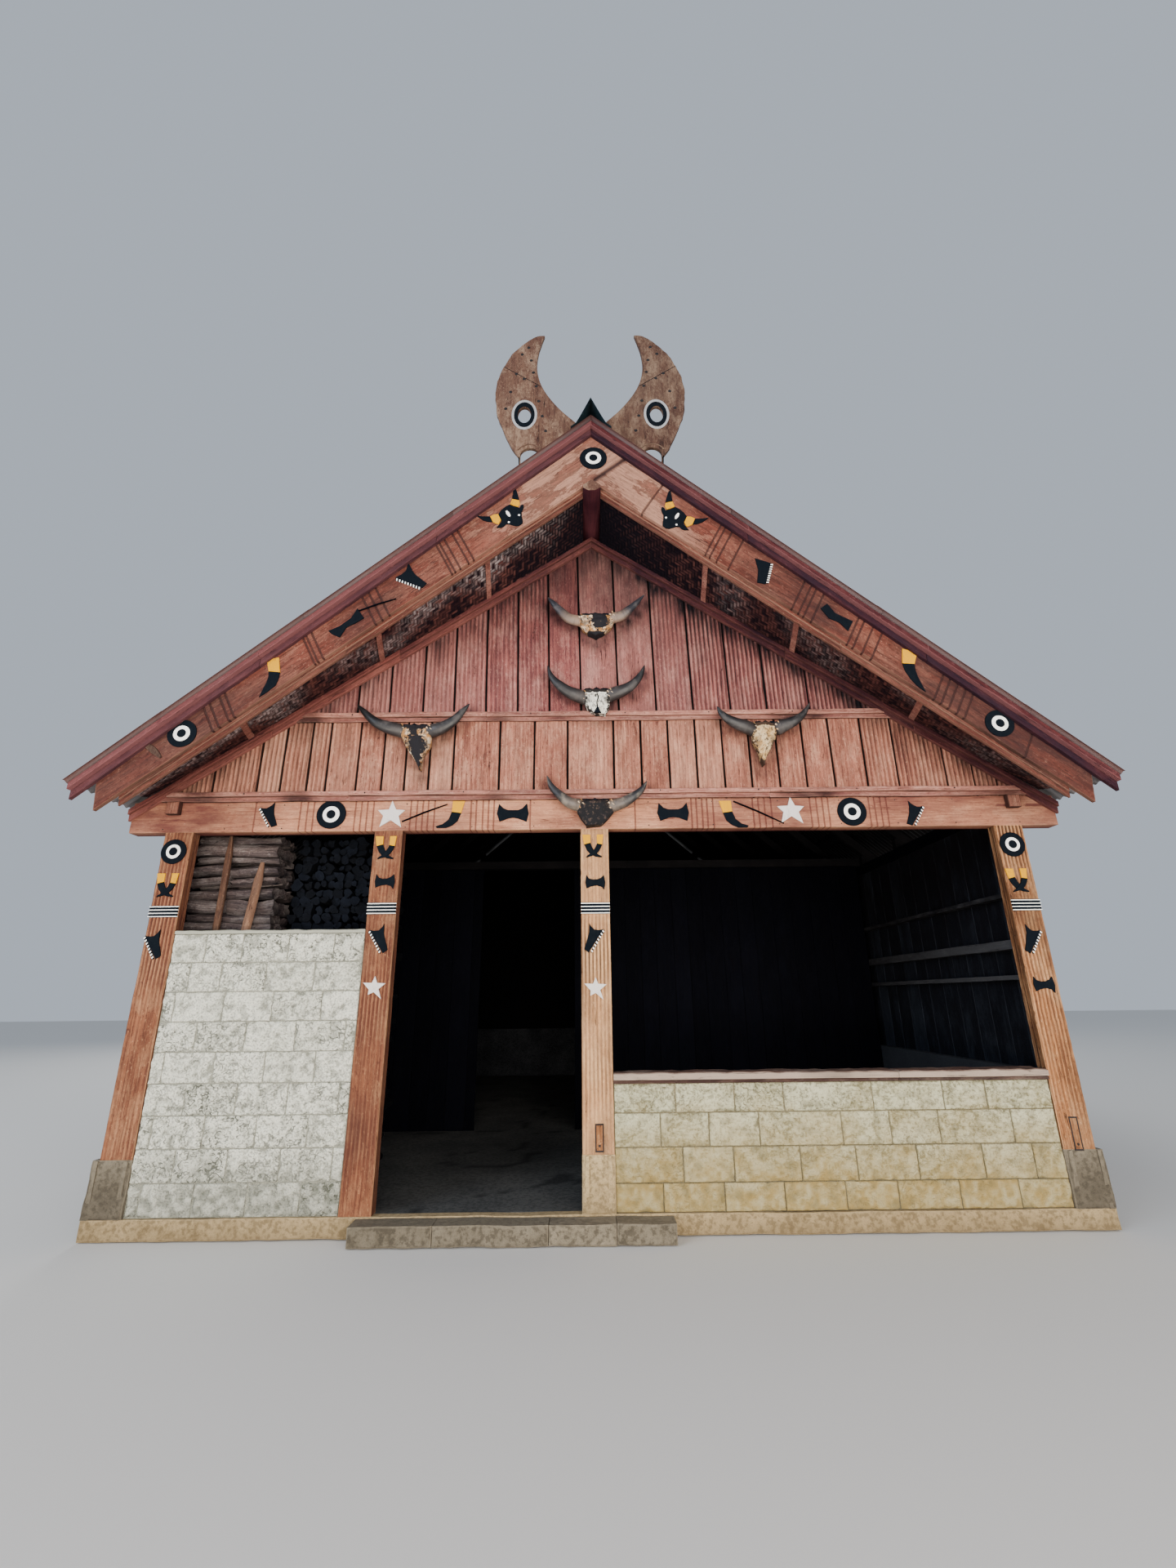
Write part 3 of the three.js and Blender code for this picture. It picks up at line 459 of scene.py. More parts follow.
class Piece:
    """Closed lumps gathered into one mesh object."""

    def __init__(self, name, slot, *looks):
        self.name, self.slot, self.looks = name, slot, looks
        self.points, self.grain, self.tone, self.shade, self.grime = [], [], [], [], []
        self.quads, self.polys, self.quad_marks, self.poly_marks = [], [], [], []
        self.total = 0

    def lump(self, points, quads, polys=(), look=0, grain=None, tone=None, shade=0.0, grime=0.0):
        """Adds points, faces and what the materials read from them to the piece."""
        points = np.asarray(points, float).reshape(-1, 3)
        count = len(points)
        tone = RNG.random() if tone is None else tone
        grain = points if grain is None else np.asarray(grain, float).reshape(-1, 3)
        self.points.append(points)
        self.grain.append(grain + np.array([7.3, 3.1, 5.7]) * (np.mean(tone) + 0.01 * len(self.points)))
        for store, value in ((self.tone, tone), (self.shade, shade), (self.grime, grime)):
            store.append(np.broadcast_to(np.asarray(value, float).ravel(), count))
        quads = np.asarray(quads, int).reshape(-1, 4)
        self.quads.append(quads + self.total)
        self.quad_marks.append(np.full(len(quads), look))
        for poly in polys:
            self.polys.append([int(i) + self.total for i in poly])
            self.poly_marks.append(look)
        self.total += count

    def shell(self, front, behind, deep=None, **style):
        """A closed slab: front is a grid of points, behind the same moved back, where deep is the shade; with
        it the sides darken towards the back, painted shade in gaps and under edges.
        """
        rows, columns = front.shape[:2]
        back = behind[:, [0, -1]]
        points = np.concatenate([front.reshape(-1, 3), back.reshape(-1, 3)])
        last = rows * columns
        ends = last + 2 * np.arange(rows)
        low = np.arange(rows) * columns
        high = low + columns - 1
        sides = [np.stack([a[:-1], a[1:], b[1:], b[:-1]], axis=1)
                 for a, b in ((low, ends), (ends, ends + 1), (ends + 1, high))]
        quads = np.concatenate([grid_faces(rows, columns), *sides])
        polys = [[*range(columns), ends[0] + 1, ends[0]], [*range(low[-1], last), ends[-1] + 1, ends[-1]]]
        for key in ("shade", "grime", "tone"):
            if key in style and np.ndim(style[key]) == 2:
                value = style[key]
                far = value[:, [0, -1]] if deep is None or key != "shade" else 0 * value[:, [0, -1]] + deep
                style[key] = np.concatenate([value.ravel(), far.ravel()])
        if "grain" in style:
            near, far = style["grain"]
            style["grain"] = np.concatenate([near.reshape(-1, 3), far[:, [0, -1]].reshape(-1, 3)])
        self.lump(points, quads, polys, **style)

    def board(self, foot, along, across, size, out=(0, -1, 0), cell=(0.12, 0.03), edge=0.004, wobble=0.0012,
              relief=None, cut=None, worn=0.4, grooves=(), grime=0.0, extra=(), **style):
        """A board from a corner of its front face. Size is its length, width and thickness."""
        length, width, thick = size
        foot, along, across, out = (np.array(v, float) for v in (foot, along, across, out))
        cuts = [*((g, 0.004) for g in grooves), *extra]
        s, u = np.meshgrid(stops(length, cell[0], edge, cuts), stops(width, cell[1], edge), indexing="ij")
        rim = (s == 0) | (s == length) | (u == 0) | (u == width)
        # A positive value makes the rims pale, which is wear; a negative one makes them dark, which is
        # painted shade in the gaps between parts.
        shade = np.where(rim, -worn, 0.0)
        lift = np.where(rim, -0.8 * edge, 0.0)
        for groove in grooves:
            inside = np.abs(s - groove) < 0.0045
            lift = np.where(inside, lift - 0.006, lift)
            shade = np.where(inside, 0.7, shade)
        if cut is not None:
            low, high = cut(u)
            s = low + (high - low) * s / length
        if relief is not None:
            more, darker = relief(u, s)
            lift = lift + more
            shade = np.where(rim, shade + 0.5 * np.maximum(darker, 0),
                             np.where(shade > 0, np.maximum(shade, darker), darker))
        seed = len(self.points) + 1
        spot = join(u, s, 0 * u + seed)
        lift = lift + wobble * rough(spot, 0.07, seed)
        side = u + 1.5 * wobble * rough(spot, 0.3, seed + 5)
        base = foot + s[..., None] * along + side[..., None] * across
        reach = np.linalg.norm(along)
        if callable(grime):
            grime = grime(u, s)
        grain = [join(u, w, s * reach) for w in (lift, 0 * u - thick)]
        self.shell(base + lift[..., None] * out, base - thick * out, grain=grain, shade=shade,
                   grime=grime + 0 * u if np.ndim(grime) == 0 else grime, **style)

    def tube(self, path, radii, sides=6, squash=1.0, lumpy=0.0, up=Z, **style):
        """A round bar along a path, closed at both ends."""
        path = np.asarray(path, float)
        radii = np.broadcast_to(np.asarray(radii, float), len(path))
        run = np.gradient(path, axis=0)
        run /= np.linalg.norm(run, axis=1, keepdims=True)
        first = np.cross(run, np.array(up, float))
        first /= np.linalg.norm(first, axis=1, keepdims=True)
        second = np.cross(run, first)
        angle = turns(sides)
        seed = len(self.points) + 3
        bulge = 1 + lumpy * rough(join(np.cos(angle), np.sin(angle), 0 * angle + seed), 0.7, seed)
        rings = ring_points(path, radii[:, None] * bulge, first[:, None], second[:, None], angle, squash)
        along = np.concatenate([[0], np.cumsum(np.linalg.norm(np.diff(path, axis=0), axis=1))])
        for key in ("shade", "grime"):
            if key in style and np.ndim(style[key]) == 1:
                style[key] = np.repeat(style[key], sides)
        self.bar(rings, grain=round_grain(radii.mean(), angle, along), **style)

    def bar(self, rings, **style):
        """Closes rings of points into a bar."""
        rows, sides = rings.shape[:2]
        caps = [list(range(sides)), list(range((rows - 1) * sides, rows * sides))]
        self.lump(rings, grid_faces(rows, sides, loop=True), caps, **style)

    def sheet(self, upper, lower, grain, **style):
        """A thin closed sheet between two grids of points."""
        rows, columns = upper.shape[:2]
        count = rows * columns
        number = np.arange(count).reshape(rows, columns)
        faces = grid_faces(rows, columns)
        rims = [join(e[:-1], e[1:], e[1:] + count, e[:-1] + count)
                for e in (number[:, 0], number[:, -1], number[0], number[-1])]
        self.lump([upper, lower], np.concatenate([faces, faces + count, *rims]), grain=[grain, grain],
                  **style)

    def plaque(self, shapes, face, thick, look=0, bevel=0.001, **style):
        """Flat shapes in X and Z with a soft edge. A shape inside another is a hole in it."""
        curve = bpy.data.curves.new("outline", "CURVE")
        curve.dimensions = "2D"
        curve.fill_mode = "BOTH"
        curve.extrude = thick / 2 - bevel
        curve.bevel_depth = bevel
        curve.bevel_resolution = 0
        curve.offset = -bevel
        for shape in shapes:
            spline = curve.splines.new("POLY")
            spline.points.add(len(shape) - 1)
            for point, (x, z) in zip(spline.points, shape):
                point.co = (x, z, 0, 1)
            spline.use_cyclic_u = True
        holder = bpy.data.objects.new("outline", curve)
        mesh = bpy.data.meshes.new_from_object(holder)
        drawn = np.array([v.co for v in mesh.vertices], float).reshape(-1, 3)
        middle = face + thick / 2
        points = join(drawn[:, 0], middle - drawn[:, 2], drawn[:, 1])
        merged = bmesh.new()
        merged.from_mesh(mesh)
        for vertex, point in zip(merged.verts, points):
            vertex.co = point
        bmesh.ops.remove_doubles(merged, verts=merged.verts, dist=1e-5)
        merged.verts.index_update()
        points = [tuple(v.co) for v in merged.verts]
        polys = [[v.index for v in f.verts] for f in merged.faces]
        merged.free()
        bpy.data.objects.remove(holder)
        bpy.data.meshes.remove(mesh)
        bpy.data.curves.remove(curve)
        self.lump(points, np.zeros((0, 4), int), polys, look=look, **style)

    def make(self, *replaced, angle=34):
        """Makes the object, and hides the CAD nodes that it stands for."""
        points = np.concatenate(self.points) + SHIFT
        faces = np.concatenate(self.quads).tolist() + self.polys
        marks = np.concatenate([*self.quad_marks, np.array(self.poly_marks, int)])
        mesh = bpy.data.meshes.new(self.name)
        mesh.from_pydata(points.tolist(), [], faces)
        mesh.polygons.foreach_set("material_index", marks.astype(np.int32))
        for look in self.looks:
            mesh.materials.append(look)
        mesh.attributes.new("grain", "FLOAT_VECTOR", "POINT").data.foreach_set(
            "vector", np.concatenate(self.grain).astype(np.float32).ravel())
        for name in ("tone", "shade", "grime"):
            values = np.concatenate(getattr(self, name)).astype(np.float32)
            mesh.attributes.new(name, "FLOAT", "POINT").data.foreach_set("value", values)
        shell = bmesh.new()
        shell.from_mesh(mesh)
        bmesh.ops.recalc_face_normals(shell, faces=shell.faces)
        shell.to_mesh(mesh)
        shell.free()
        mesh.shade_smooth()
        mesh.set_sharp_from_angle(angle=math.radians(angle))
        thing = bpy.data.objects.new(self.name, mesh)
        bpy.context.scene.collection.objects.link(thing)
        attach(thing, "root")
        if replaced:
            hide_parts(*replaced)
        return thing


def around(centre, radius, count=40, stretch=1.0):
    """A circle in X and Z, or an upright oval."""
    return [(centre[0] + radius * math.cos(a),
             centre[1] + stretch * radius * math.sin(a)) for a in turns(count)]


def put(outline, centre, flip):
    """An outline in millimetres, put at its centre in metres."""
    sign = -1 if flip else 1
    return [(centre[0] + sign * x / 1000, centre[1] + z / 1000) for x, z in outline]


# Gable wall: two tiers of upright boards carved in ribs

JOINTS_LOW = (-3.54, -3.129, -2.916, -2.673, -2.498, -2.216, -1.98, -1.767, -1.546, -1.321, -0.89, -0.563,
              -0.25, 0.185, 0.444, 0.704, 0.963, 1.215, 1.467, 1.726, 1.978, 2.238, 2.544, 2.834, 3.285,
              3.537, 3.744)
JOINTS_HIGH = (-2.272, -1.965, -1.643, -1.344, -1.037, -0.73, -0.423, -0.116, 0.246, 0.608, 0.963, 1.325,
               1.68, 2.09)
RIB = 0.042
HALF_JOINT = 0.0085


def skull_shadow_and_stain(x, z):
    """Dark marks around the skulls on the boards behind them: stains they have left and painted shadow,
    shifted downwards.
    """
    nearest = np.full(np.shape(x), 9.0)
    for left, right, head in SKULLS.values():
        for px, pz in (*left, *right, *head):
            nearest = np.minimum(nearest, np.hypot(x - px, 1.3 * (z - pz + 0.05)))
    return 0.6 * unit(1 - (nearest - 0.03) / 0.1)


def gable_tier(name, node, look, foot, top, joints, lean, strengths):
    """Separate ribbed boards between two rails. Strengths tells how deep the ribs of a board are."""
    piece = Piece(name, "red_wood", look)
    reach = (GABLE_APEX - foot) / GABLE_FALL - 0.05
    edges = [-reach, *joints, reach]
    for number, (left, right) in enumerate(zip(edges, edges[1:])):
        start = left + HALF_JOINT
        width = right - left - 2 * HALF_JOINT
        middle = (left + right) / 2
        strength = strengths(middle, number)
        board_no = number * 3.7

        def below_rake(u, s):
            x = start + u + lean * s
            return x, gable_line(x) - foot - s

        def cut(u):
            x = start + u
            rise = (gable_line(x) - foot) / (1 + GABLE_FALL * lean * np.sign(x))
            return 0 * u, np.clip(np.minimum(top - foot, rise), 0.01, None)

        def relief(u, s):
            near = unit(1 - below_rake(u, s)[1] / 1.1)
            deep = strength * (0.65 + 0.35 * near)
            spot = join(u, s, 0 * u + board_no)
            sway = 0.003 * rough(spot, 0.22, number)
            rib = np.abs(np.sin(math.pi * (u + sway) / RIB + 0.3))
            chips = 0.0016 * rough(spot * [1.0, 0.8, 1.0], 0.028, number + 9)
            dents = unit(rough(spot, 0.11, number + 21) - 0.55) * 0.006
            worn = 0.85 + 0.35 * rough(spot * [2, 1, 1], 0.1, number + 31)
            # The shade value: painted shade in the rib hollows and growing towards the apex under the eaves,
            # and a painted highlight on the crests.
            crest = 0.25 * deep * unit(rib - 0.8) / 0.2
            apex_shade = 0.5 * unit((foot + s - 4.7) / 1.1)
            return (-0.013 * deep * (1 - rib) + chips - dents,
                    unit(0.95 * deep * worn * (1 - rib) ** 1.3 + apex_shade) - crest)

        def grime(u, s):
            x, below = below_rake(u, s)
            near = unit(1 - below / 0.45)
            spot = join(u, 0.4 * s, 0 * u + board_no)
            # Darker towards the apex and on the right of the upper tier: painted shade under the eaves.
            shade_and_smoke = unit((foot + s - 4.6) / 1.2) ** 1.3 * 0.45 + 0.1 * (foot + s > 4.12) * (x > 0)
            stain_and_shade = near * 1.1 * (0.4 + rough(spot, 0.16, number + 2)) * np.clip(np.abs(x) / 0.9, 0.25, 1)
            streak = 0.3 * unit(rough(spot * [6, 0.4, 1], 0.3, number + 5) - 0.3)
            drop = unit(1 - (below - 0.1) / 0.24)
            shadow = drop * np.clip(0.15 + 0.4 * x, 0.15, 0.75) * (foot > 4)
            return unit(np.maximum(stain_and_shade, 0) * 0.8 + shade_and_smoke + streak + shadow + skull_shadow_and_stain(x, foot + s))

        # Boards on the left are paler: painted light of the haze on that side.
        piece.board((start, 0.0, foot), (lean, 0, 1), X, (top - foot, width, 0.029), cell=(0.055, 0.0063),
                    cut=cut, relief=relief, grime=grime, worn=-0.7, deep=1.0,
                    tone=0.36 + 0.4 * RNG.random() + 0.14 * (middle < -0.9))
    return piece.make(node)


def make_gable():
    """Both tiers of boards, and a near-black board behind them: painted shadow in the gaps between them."""
    joint = (RAIL_LOW + RAIL_TOP) / 2
    low_strength = lambda x, n: 0.95 if abs(x) > 2.55 else (0.5 if x < -1.3 else 0.2 + 0.14 * (n % 3))
    high_strength = lambda x, n: 0.15 if abs(x) < 0.5 else (1.3 if x > 1.1 else 0.75)
    gable_tier("gable_boards_low", "gable_boards_lower", RED, LINTEL_TOP + HAIR, joint, JOINTS_LOW, 0.0,
               low_strength)
    gable_tier("gable_boards_high", "gable_boards_upper", SHADED_HIGH_RED, joint + HAIR, GABLE_APEX, JOINTS_HIGH,
               -0.018, high_strength)
    dark = Piece("gable_backing", "dark_wood", SHADOW_BLACK)
    for low, high in ((LINTEL_TOP + 0.01, joint - 0.01), (joint + 0.01, GABLE_APEX)):
        reach = (GABLE_APEX - low) / GABLE_FALL - 0.1
        cut = lambda u: (0 * u, np.clip(np.minimum(high, gable_line(u - reach)) - low, 0.005, None))
        dark.board((-reach, 0.031, low), Z, X, (high - low, 2 * reach, 0.008), cell=(0.5, 0.1), cut=cut,
                   worn=0.0)
    dark.make()


def long_board(piece, x0, x1, z0, z1, front, back, **style):
    """A level board across the front, between two depths."""
    piece.board((x0, front, z0), X, Z, (x1 - x0, z1 - z0, back - front), **style)


def make_rails():
    """Two mouldings across the gable, with ends cut to the slope of the rake mouldings."""
    for name, node, breaks, levels in (
            ("carved_rail", "gable_rail", (-1.02, 1.236),
             ((4.126, RAIL_TOP, -0.05), (RAIL_LOW, 4.123, -0.028))),
            ("carved_ledge", "lintel_ledge", (-2.25, 1.61),
             ((3.342, 3.38, -0.065), (LINTEL_TOP + HAIR, 3.339, -0.035)))):
        piece = Piece(name, "red_wood", RAIL)
        for z0, z1, front in levels:
            proud = front < -0.045
            for first, last in ((None, breaks[0]), breaks, (breaks[1], None)):

                def cut(u):
                    reach = (GABLE_APEX - 0.105 - z0 - u) / GABLE_FALL - 0.003
                    return (-reach if first is None else 0 * u + first,
                            reach if last is None else 0 * u + last - 0.003)

                # The recessed lower step is darker than the proud one: painted shade under the upper step.
                piece.board((0, front, z0), X, Z, (2.5, z1 - z0, -HAIR - front), cell=(0.03, 0.02),
                            edge=0.005, wobble=0.003, worn=0.45, cut=cut, tone=0.6 if proud else 0.1,
                            deep=1.0, grime=lambda u, s: unit((0.0 if proud else 0.35)
                                                              + 0.8 * rough(flat(u, s), 0.3, 4) - 0.1))
        piece.make(node)


def slope_board(piece, side, apex, fall, reach, drops, front, back, **style):
    """A board that follows a falling line, between two drops below it."""
    x0, x1 = reach
    piece.board((side * x0, front, apex - fall * x0 - drops[0]), (side, 0, -fall), (0, 0, -1),
                (x1 - x0, drops[1] - drops[0], back - front), cell=(0.06, 0.02), **style)


def make_mouldings():
    """Two-step mouldings along the top of the gable."""
    for side, word in SIDES:
        piece = Piece(f"carved_moulding_{word}", "red_wood", MOULDING)
        # Darker near the apex and all along the right side, the left side paler: painted shade under the
        # eaves and painted light on the left.
        fade = 0.04 if side > 0 else 0.36
        for x0, x1 in ((0.001, 1.9), (1.903, 3.043), (3.046, 4.225)):
            grime = lambda u, s: unit(0.95 - fade * (x0 + s) + 0.3 * rough(flat(u, s), 0.3, 4))
            for drops, front, edge, wobble, worn, tone in (
                    ((0.0, 0.046), -0.06, 0.006, 0.003, 0.3, 0.5 - 0.15 * side),
                    ((0.051, 0.105), -0.035, 0.005, 0.002, 0.4, 0.55 - 0.25 * side)):
                slope_board(piece, side, GABLE_APEX, GABLE_FALL, (x0, x1), drops, front, -HAIR, edge=edge,
                            wobble=wobble, worn=worn, grime=grime, tone=tone)
        piece.make(f"rake_moulding_{word}")


# Roof edge

CUTS_RIGHT = (0.69, 1.219, 1.256, 1.314, 1.415, 1.939, 1.994, 2.034, 2.096, 2.379, 2.423, 2.493, 2.564, 3.036,
              3.087, 3.142, 3.202, 3.256, 3.683)
CUTS_LEFT = (1.313, 1.268, 1.456, 1.428, 1.384, 2.038, 1.98, 2.091, 2.571, 2.546, 2.505, 3.215, 3.176, 3.287,
             3.332)
LEAN = 0.37


def barge_board(side, word, cuts):
    """A wide carved board under the roof edge. The left one runs past the middle to meet the right one."""
    piece = Piece(f"carved_barge_{word}", "red_wood", BARGE)
    deep = ROOF_APEX - BARGE_APEX
    meet = 0.3995
    top = (meet + 0.005, 4.11) if side > 0 else (0.0, 4.11)
    foot = (0.0065, 4.073) if side > 0 else (-meet, 4.073)
    cuts = [(c + 0.05 - top[0]) / (top[1] - top[0]) * 4.11 for c in cuts]
    places = stops(4.11, 0.022, 0.008, [(c, 0.0045) for c in cuts])
    s, u = np.meshgrid(places / 4.11, stops(1.0, 0.06, 0.012), indexing="ij")
    x_top = top[0] + s * (top[1] - top[0])
    x_foot = foot[0] + s * (foot[1] - foot[0])
    height = deep - (ROOF_FALL - BARGE_FALL) * np.clip(x_top, 0, None)
    window = unit(np.minimum(s / 0.12, (1 - s) / 0.06))
    x = x_top - (1 - u) * (window * LEAN * height + (1 - window) * (x_top - x_foot))
    low = BARGE_APEX - BARGE_FALL * x
    high = ROOF_APEX - ROOF_FALL * x - HAIR
    z = low + u * (high - low)
    rim = (s == 0) | (s == 1) | (u == 0) | (u == 1)
    lift = np.where(rim, -0.004, 0.0)
    shade = np.where(rim, -0.5, 0.0)
    for c in cuts:
        inside = np.abs(s * 4.11 - c) < 0.005
        lift = np.where(inside, -0.007, lift)
        shade = np.where(inside, 0.8, shade)
    shade = np.where((s * 4.11 < 0.012) if side > 0 else (u < 0.05) & (x < 0), 1.0, shade)
    # The top rows under the trim: painted shadow.
    shade = np.where((u > 0.9) & (u < 1), 0.75, shade)
    spot = join(x, z, 0 * x)
    lift = lift + 0.002 * rough(spot, 0.09, 3) + 0.0015 * rough(spot, 0.03, 5)
    z = z + np.where(u == 0, 0.004, 0.0) * rough(spot, 0.25, 8)
    along = (x + 0.8 * (BARGE_APEX - z)) / 1.28
    across = (0.8 * x - (BARGE_APEX - z)) / 1.28
    front = join(side * x, BARGE_Y - lift, z)
    behind = front.copy()
    behind[..., 1] = BARGE_Y + 0.04
    grain = [join(across, lift, along), join(across, lift - 0.04, along)]
    # Darker towards the lower end and more so on the right; the band along the top is painted shadow under
    # the trim.
    spread = 0.9 * (s - 0.12) if side < 0 else 0.24 + 0.65 * unit(s - 0.1)
    stain_and_shade = unit(0.6 * rough(spot, 0.5, 12) + 0.5 * (u > 0.9) + spread) * (0.62 if side < 0 else 0.8)
    fresh = 0.86 - (0.33 if side < 0 else 0.4) * unit((x - 0.6) / 0.7)
    piece.shell(front, behind, grain=grain, shade=shade, grime=stain_and_shade, tone=fresh)
    return piece


def make_barge():
    """The barge boards, the strips behind them and the stepped trim over them."""
    for side, word in SIDES:
        barge_board(side, word, CUTS_LEFT if side < 0 else CUTS_RIGHT).make(f"barge_board_{word}")
    for side, word in SIDES:
        strip = Piece(f"carved_strip_{word}", "red_wood", BARGE)
        front, back = BARGE_Y + 0.0403, BARGE_Y + 0.0753
        for x0, x1 in ((0.0854, 2.2), (2.203, 3.915)):
            slope_board(strip, side, BARGE_APEX, BARGE_FALL, (x0, x1), (-0.05, 0.026), front, back,
                        wobble=0.002, worn=0.9, tone=0.55,
                        grime=lambda u, s: np.clip(0.15 * (x0 + s) + 0.4 * rough(flat(u, s), 0.3, 7), 0, 0.7))
            slope_board(strip, side, BARGE_APEX, BARGE_FALL, (x0, x1), (0.031, 0.075), front + 0.006, back,
                        edge=0.006, wobble=0.003, worn=0.3, tone=0.25, grime=0.3)
        strip.make(f"barge_strip_{word}")
        trim = Piece(f"stepped_trim_{word}", "trim_wood", TRIM)
        for reach in ((0.0006, 1.45), (1.452, 2.9), (2.903, 4.26)):
            # The lower step is darkened, painted shade under the upper step, and the left trim is paler than
            # the right: painted light on the left side.
            for drops, front, worn, grime in (((0.0005, 0.056), -0.745, 0.6, 0.0),
                                              ((0.06, 0.13), -0.7, 0.1, 0.7 + 0.1 * side)):
                slope_board(trim, side, ROOF_APEX, ROOF_FALL, reach, drops, front, BARGE_Y - HAIR, edge=0.006,
                            wobble=0.002, worn=worn, grime=grime, tone=0.6 - 0.35 * side)
        trim.make(f"rake_trim_{word}")


def soffit_point(t, s):
    """A point under the eaves: t runs from the ridge beam outwards, s from the barge board to the wall."""
    inner = 0.0853
    x = inner + t * (3.83 + 0.24 * s - inner)
    front = BARGE_APEX - BARGE_FALL * x - 0.052
    back = GABLE_APEX - GABLE_FALL * x - 0.015
    y0, y1 = BARGE_Y + 0.0756, -0.0603
    return x, y0 + s * (y1 - y0), front + s * (back - front) + 0.008


def make_soffit():
    """Woven mats under the eaves, with battens across them."""
    weave = 0.036
    for side, word in SIDES:
        piece = Piece(f"woven_soffit_{word}", "matting", MAT, RAIL)
        t, s = np.meshgrid(np.linspace(0, 1, 557), np.linspace(0, 1, 73), indexing="ij")
        x, y, z = soffit_point(t, s)
        run, cross = t * 5.0, s * 0.524
        i, j = np.floor(run / weave), np.floor(cross / weave)
        a, b = run / weave - i, cross / weave - j
        phase = (i + j) % 4
        over = phase < 2
        crown = np.where(over, np.sin(math.pi * b), np.sin(math.pi * a)) ** 0.5
        float_end = np.where(over, phase + a, phase - 2 + b) - 1
        crown = crown * (1 - 0.45 * float_end ** 4)
        spot = join(run, cross, 0 * run + side)
        sag = 0.006 * rough(spot, 0.5, 2)
        drop = 0.008 * (crown - 1) + sag - 0.001 + 0.0015 * rough(spot, 0.02, 6)
        front = join(side * x, y, z - np.clip(drop, -0.02, 0.006))
        behind = join(side * x, y, z + 0.011)
        # Darker towards the ridge, on the right and towards the wall: painted shade under the roof.
        shade_and_smoke = unit(1 - t / (0.22 if side < 0 else 0.3)) * 0.7 + (0.15 if side > 0 else 0.0) + 0.2 * s
        # Pale strands: partly the mat's own pale strands, partly painted light, strongest on the left side
        # and fading towards the wall and the ridge.
        pale = unit(0.85 + 1.2 * rough(spot, 0.4, 9) - 0.6 * s - shade_and_smoke) * (1.0 if side < 0 else 0.4)
        grain = join(np.where(over, cross, run), 0 * run, np.where(over, run, cross))
        strand = lattice(join(np.floor((i + j) / 4), np.where(over, j, i), over), 5)
        piece.shell(front, behind, grain=[grain + 40 * strand[..., None], grain],
                    tone=unit(1.3 * strand - 0.2), grime=unit(pale * (0.35 + 0.9 * strand)),
                    shade=unit(0.85 * (1 - crown) + shade_and_smoke))
        for share in ((0.235, 0.49, 0.78) if side < 0 else (0.255, 0.465, 0.73)):
            low, high = (np.array([soffit_point(t, s) for s in np.linspace(0, 1, 9)]) * [side, 1, 1]
                         for t in (share, share + 0.011))
            for line in (low, high):
                line[[0, -1], 1] += [0.001, -0.001]
            drop, seat, back = ([0, 0, z] for z in (0.014, 0.004, 0.005))
            front = np.stack([low + seat, low - drop, (low + high) / 2 - drop, high - drop, high + seat],
                             axis=1)
            behind = np.repeat(low[:, None] + back, 5, axis=1)
            behind[:, -1] = high + back
            piece.shell(front, behind, look=1, tone=0.3)
        piece.make(f"soffit_{word}")


# Roof covering

def make_roof():
    """Corrugated sheets in overlapping courses, and the screws that hold them."""
    pitch, swell = 0.088, 0.0085
    y = np.arange(0, 10.8 + 1e-6, pitch / 8)
    y = ROOF_FRONT + y * 10.805 / y[-1]
    sheets = ((0.0003, 1.25), (1.25, 2.5), (2.5, 3.6), (3.6, EAVE))
    for side, word in SIDES:
        piece = Piece(f"corrugated_roof_{word}", "sheet_metal", TIN)
        for number, (x0, x1) in enumerate(sheets):
            out, back = np.meshgrid(np.linspace(x0, min(x1 + 0.05, EAVE), 5), y)
            share = (out - x0) / (x1 - x0)
            wave = np.sin(2 * math.pi * back / pitch)
            z = roof_line(out) + 0.016 + swell * wave - 0.0045 * (share - 0.5)
            z = z + 0.0012 * rough(join(out, 0.3 * back, 0 * out + side), 0.4, number)
            upper = join(side * out, back, z)
            # Painted shade in the troughs of the corrugations.
            trough_shade = unit(-wave) * 0.25
            rake = -unit(1 - (back - ROOF_FRONT) / 0.12)
            # Under the sheets inside the porch the colour goes near black: soot and painted shade of the dark
            # roof space.
            soot_and_shade = unit((back + 0.1) / 0.3) * unit((4.2 - out) / 0.1) * (back < 9.7)
            piece.sheet(upper, upper - [0, 0, 0.0014], join(back, 0 * out, 1.33 * out),
                        shade=[trough_shade, trough_shade], grime=[rake, rake + soot_and_shade], tone=0.8 - 0.2 * number)
        piece.make(f"roof_{word}", angle=60)
    fixings = Piece("roof_screws", "sheet_metal", NAIL)
    for side in (-1, 1):
        for x in (0.45, 1.4, 2.5, 3.6, 4.15):
            for place in np.arange(-0.62, 9.9, 0.528):
                z = roof_line(x) + 0.023
                fixings.tube([(side * x, place, z), (side * (x + 0.006), place, z + 0.008)], [0.011, 0.006],
                             up=Y)
    fixings.make()


